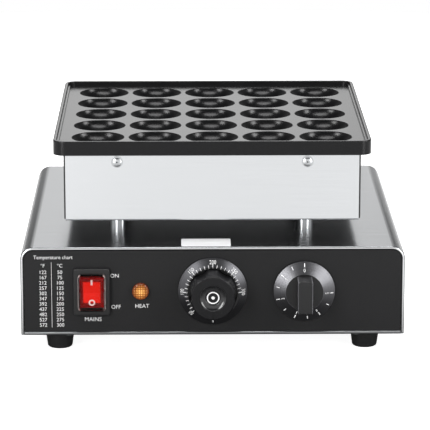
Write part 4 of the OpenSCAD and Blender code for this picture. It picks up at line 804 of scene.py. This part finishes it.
# Pale floor: it glows white to the camera over its shadow, and mirrors see it glow too
floorLook = {"colour": "#EDEDED", "radius": 1.6, "sides": 96}
floorFades = {
    "bare": ("reach", 0.065, 0.08, 0.1, 0.92),  # to the camera dim deep under the base, where vents show it: the glow is taken out there, painted shade over the real shadow
    "along": ("depth", -0.2, 0.2, 0.92, 0.7),  # in mirrors bright in front and dimmer behind,
    "clear": ("reach", 0.18, 0.42, 0.1, 1.0),  # and dark under the object: a painted shadow that mirrors see
}
floorFinish, floorTree, floorShader, floorPlace = newFinish("paleFloor", {
    "Base Color": hexColour(floorLook["colour"]), "Roughness": 0.9, "Specular IOR Level": 0.0,
    "Emission Color": white})
depth = addNode(floorTree, "ShaderNodeSeparateXYZ", {"Vector": floorPlace}).outputs["Y"]
reach = addNode(floorTree, "ShaderNodeVectorMath", {0: floorPlace}, operation="LENGTH").outputs["Value"]
levels = fadeLevels(floorTree, {"depth": depth, "reach": reach}, floorFades)
paths = addNode(floorTree, "ShaderNodeLightPath").outputs
seen = addNode(floorTree, "ShaderNodeMath", {0: paths["Is Camera Ray"], 1: levels["bare"]},
               operation="MULTIPLY").outputs[0]
floorTree.links.new(seen, floorShader.inputs["Emission Strength"])
mirrored = addNode(floorTree, "ShaderNodeMath", {0: levels["along"], 1: levels["clear"]},
                   operation="MULTIPLY").outputs[0]
glow = addNode(floorTree, "ShaderNodeEmission", {"Color": white, "Strength": mirrored}).outputs[0]
other = addNode(floorTree, "ShaderNodeMath", {0: paths["Is Glossy Ray"], 1: paths["Is Transmission Ray"]},
                operation="MAXIMUM").outputs[0]
floorMix = addNode(floorTree, "ShaderNodeMixShader", {0: other, 1: floorShader.outputs[0], 2: glow})
floorTree.links.new(floorMix.outputs[0], floorTree.nodes["Material Output"].inputs["Surface"])
build = bmesh.new()
bmesh.ops.create_circle(build, cap_ends=True, segments=floorLook["sides"], radius=floorLook["radius"])
floorMesh = meshFrom(build, "floor")
floorMesh.materials.append(floorFinish)
floor = bpy.data.objects.new("floor", floorMesh)
scene.collection.objects.link(floor)

# Two upright strips beside the camera's line, a box at each side, a wide round one overhead, and two low
# cards behind that light the bends of the base; width and height in metres
softBoxes = [
    {"name": "stripLeft", "at": (-0.42, -0.68, 0.3), "size": (0.2, 0.5), "power": 2.4},
    {"name": "stripRight", "at": (0.46, -0.5, 0.31), "size": (0.2, 0.5), "power": 1.7},
    {"name": "sideLeft", "at": (-1.32, -0.58, 1.58), "size": (0.65, 0.45), "power": 12.5},
    {"name": "sideRight", "at": (1.42, -0.3, 1.38), "size": (0.65, 0.4), "power": 10.0},
    {"name": "roundAbove", "at": (0.0, -0.25, 1.6), "size": (1.2, 0.5), "power": 9.5, "shape": "ELLIPSE"},
    {"name": "cardLeft", "at": (-0.27, 0.45, 0.085), "size": (0.22, 0.17), "power": 0.03},
    {"name": "cardRight", "at": (0.27, 0.45, 0.085), "size": (0.22, 0.17), "power": 0.055},
]
aim = Vector((0, 0, 0.1))
for box in softBoxes:
    light = bpy.data.lights.new(box["name"], "AREA")
    light.shape = box.get("shape", "RECTANGLE")
    light.size, light.size_y = box["size"]
    light.energy = box["power"]
    lamp = bpy.data.objects.new(box["name"], light)
    lamp.location = box["at"]
    lamp.visible_camera = False
    lamp.rotation_euler = (aim - lamp.location).to_track_quat("-Z", "Y").to_euler()
    scene.collection.objects.link(lamp)

# The photographer's view: a long lens, a little above the plate; place and lens in mm, angles in degrees
view = {"at": (-25.4, -2267.5, 643.0), "down": 13.87, "turn": -0.738, "lens": 220.9, "sensor": 36.0,
        "far": 50000}
cameraData = bpy.data.cameras.new("photoCamera")
cameraData.lens = view["lens"]
cameraData.sensor_width = view["sensor"]
cameraData.clip_end = view["far"] * mm
camera = bpy.data.objects.new("photoCamera", cameraData)
camera.location = Vector(view["at"]) * mm
camera.rotation_euler = (math.radians(90 - view["down"]), 0, math.radians(view["turn"]))
scene.collection.objects.link(camera)
scene.camera = camera
scene.view_settings.view_transform = "Standard"
print("studio and camera set")
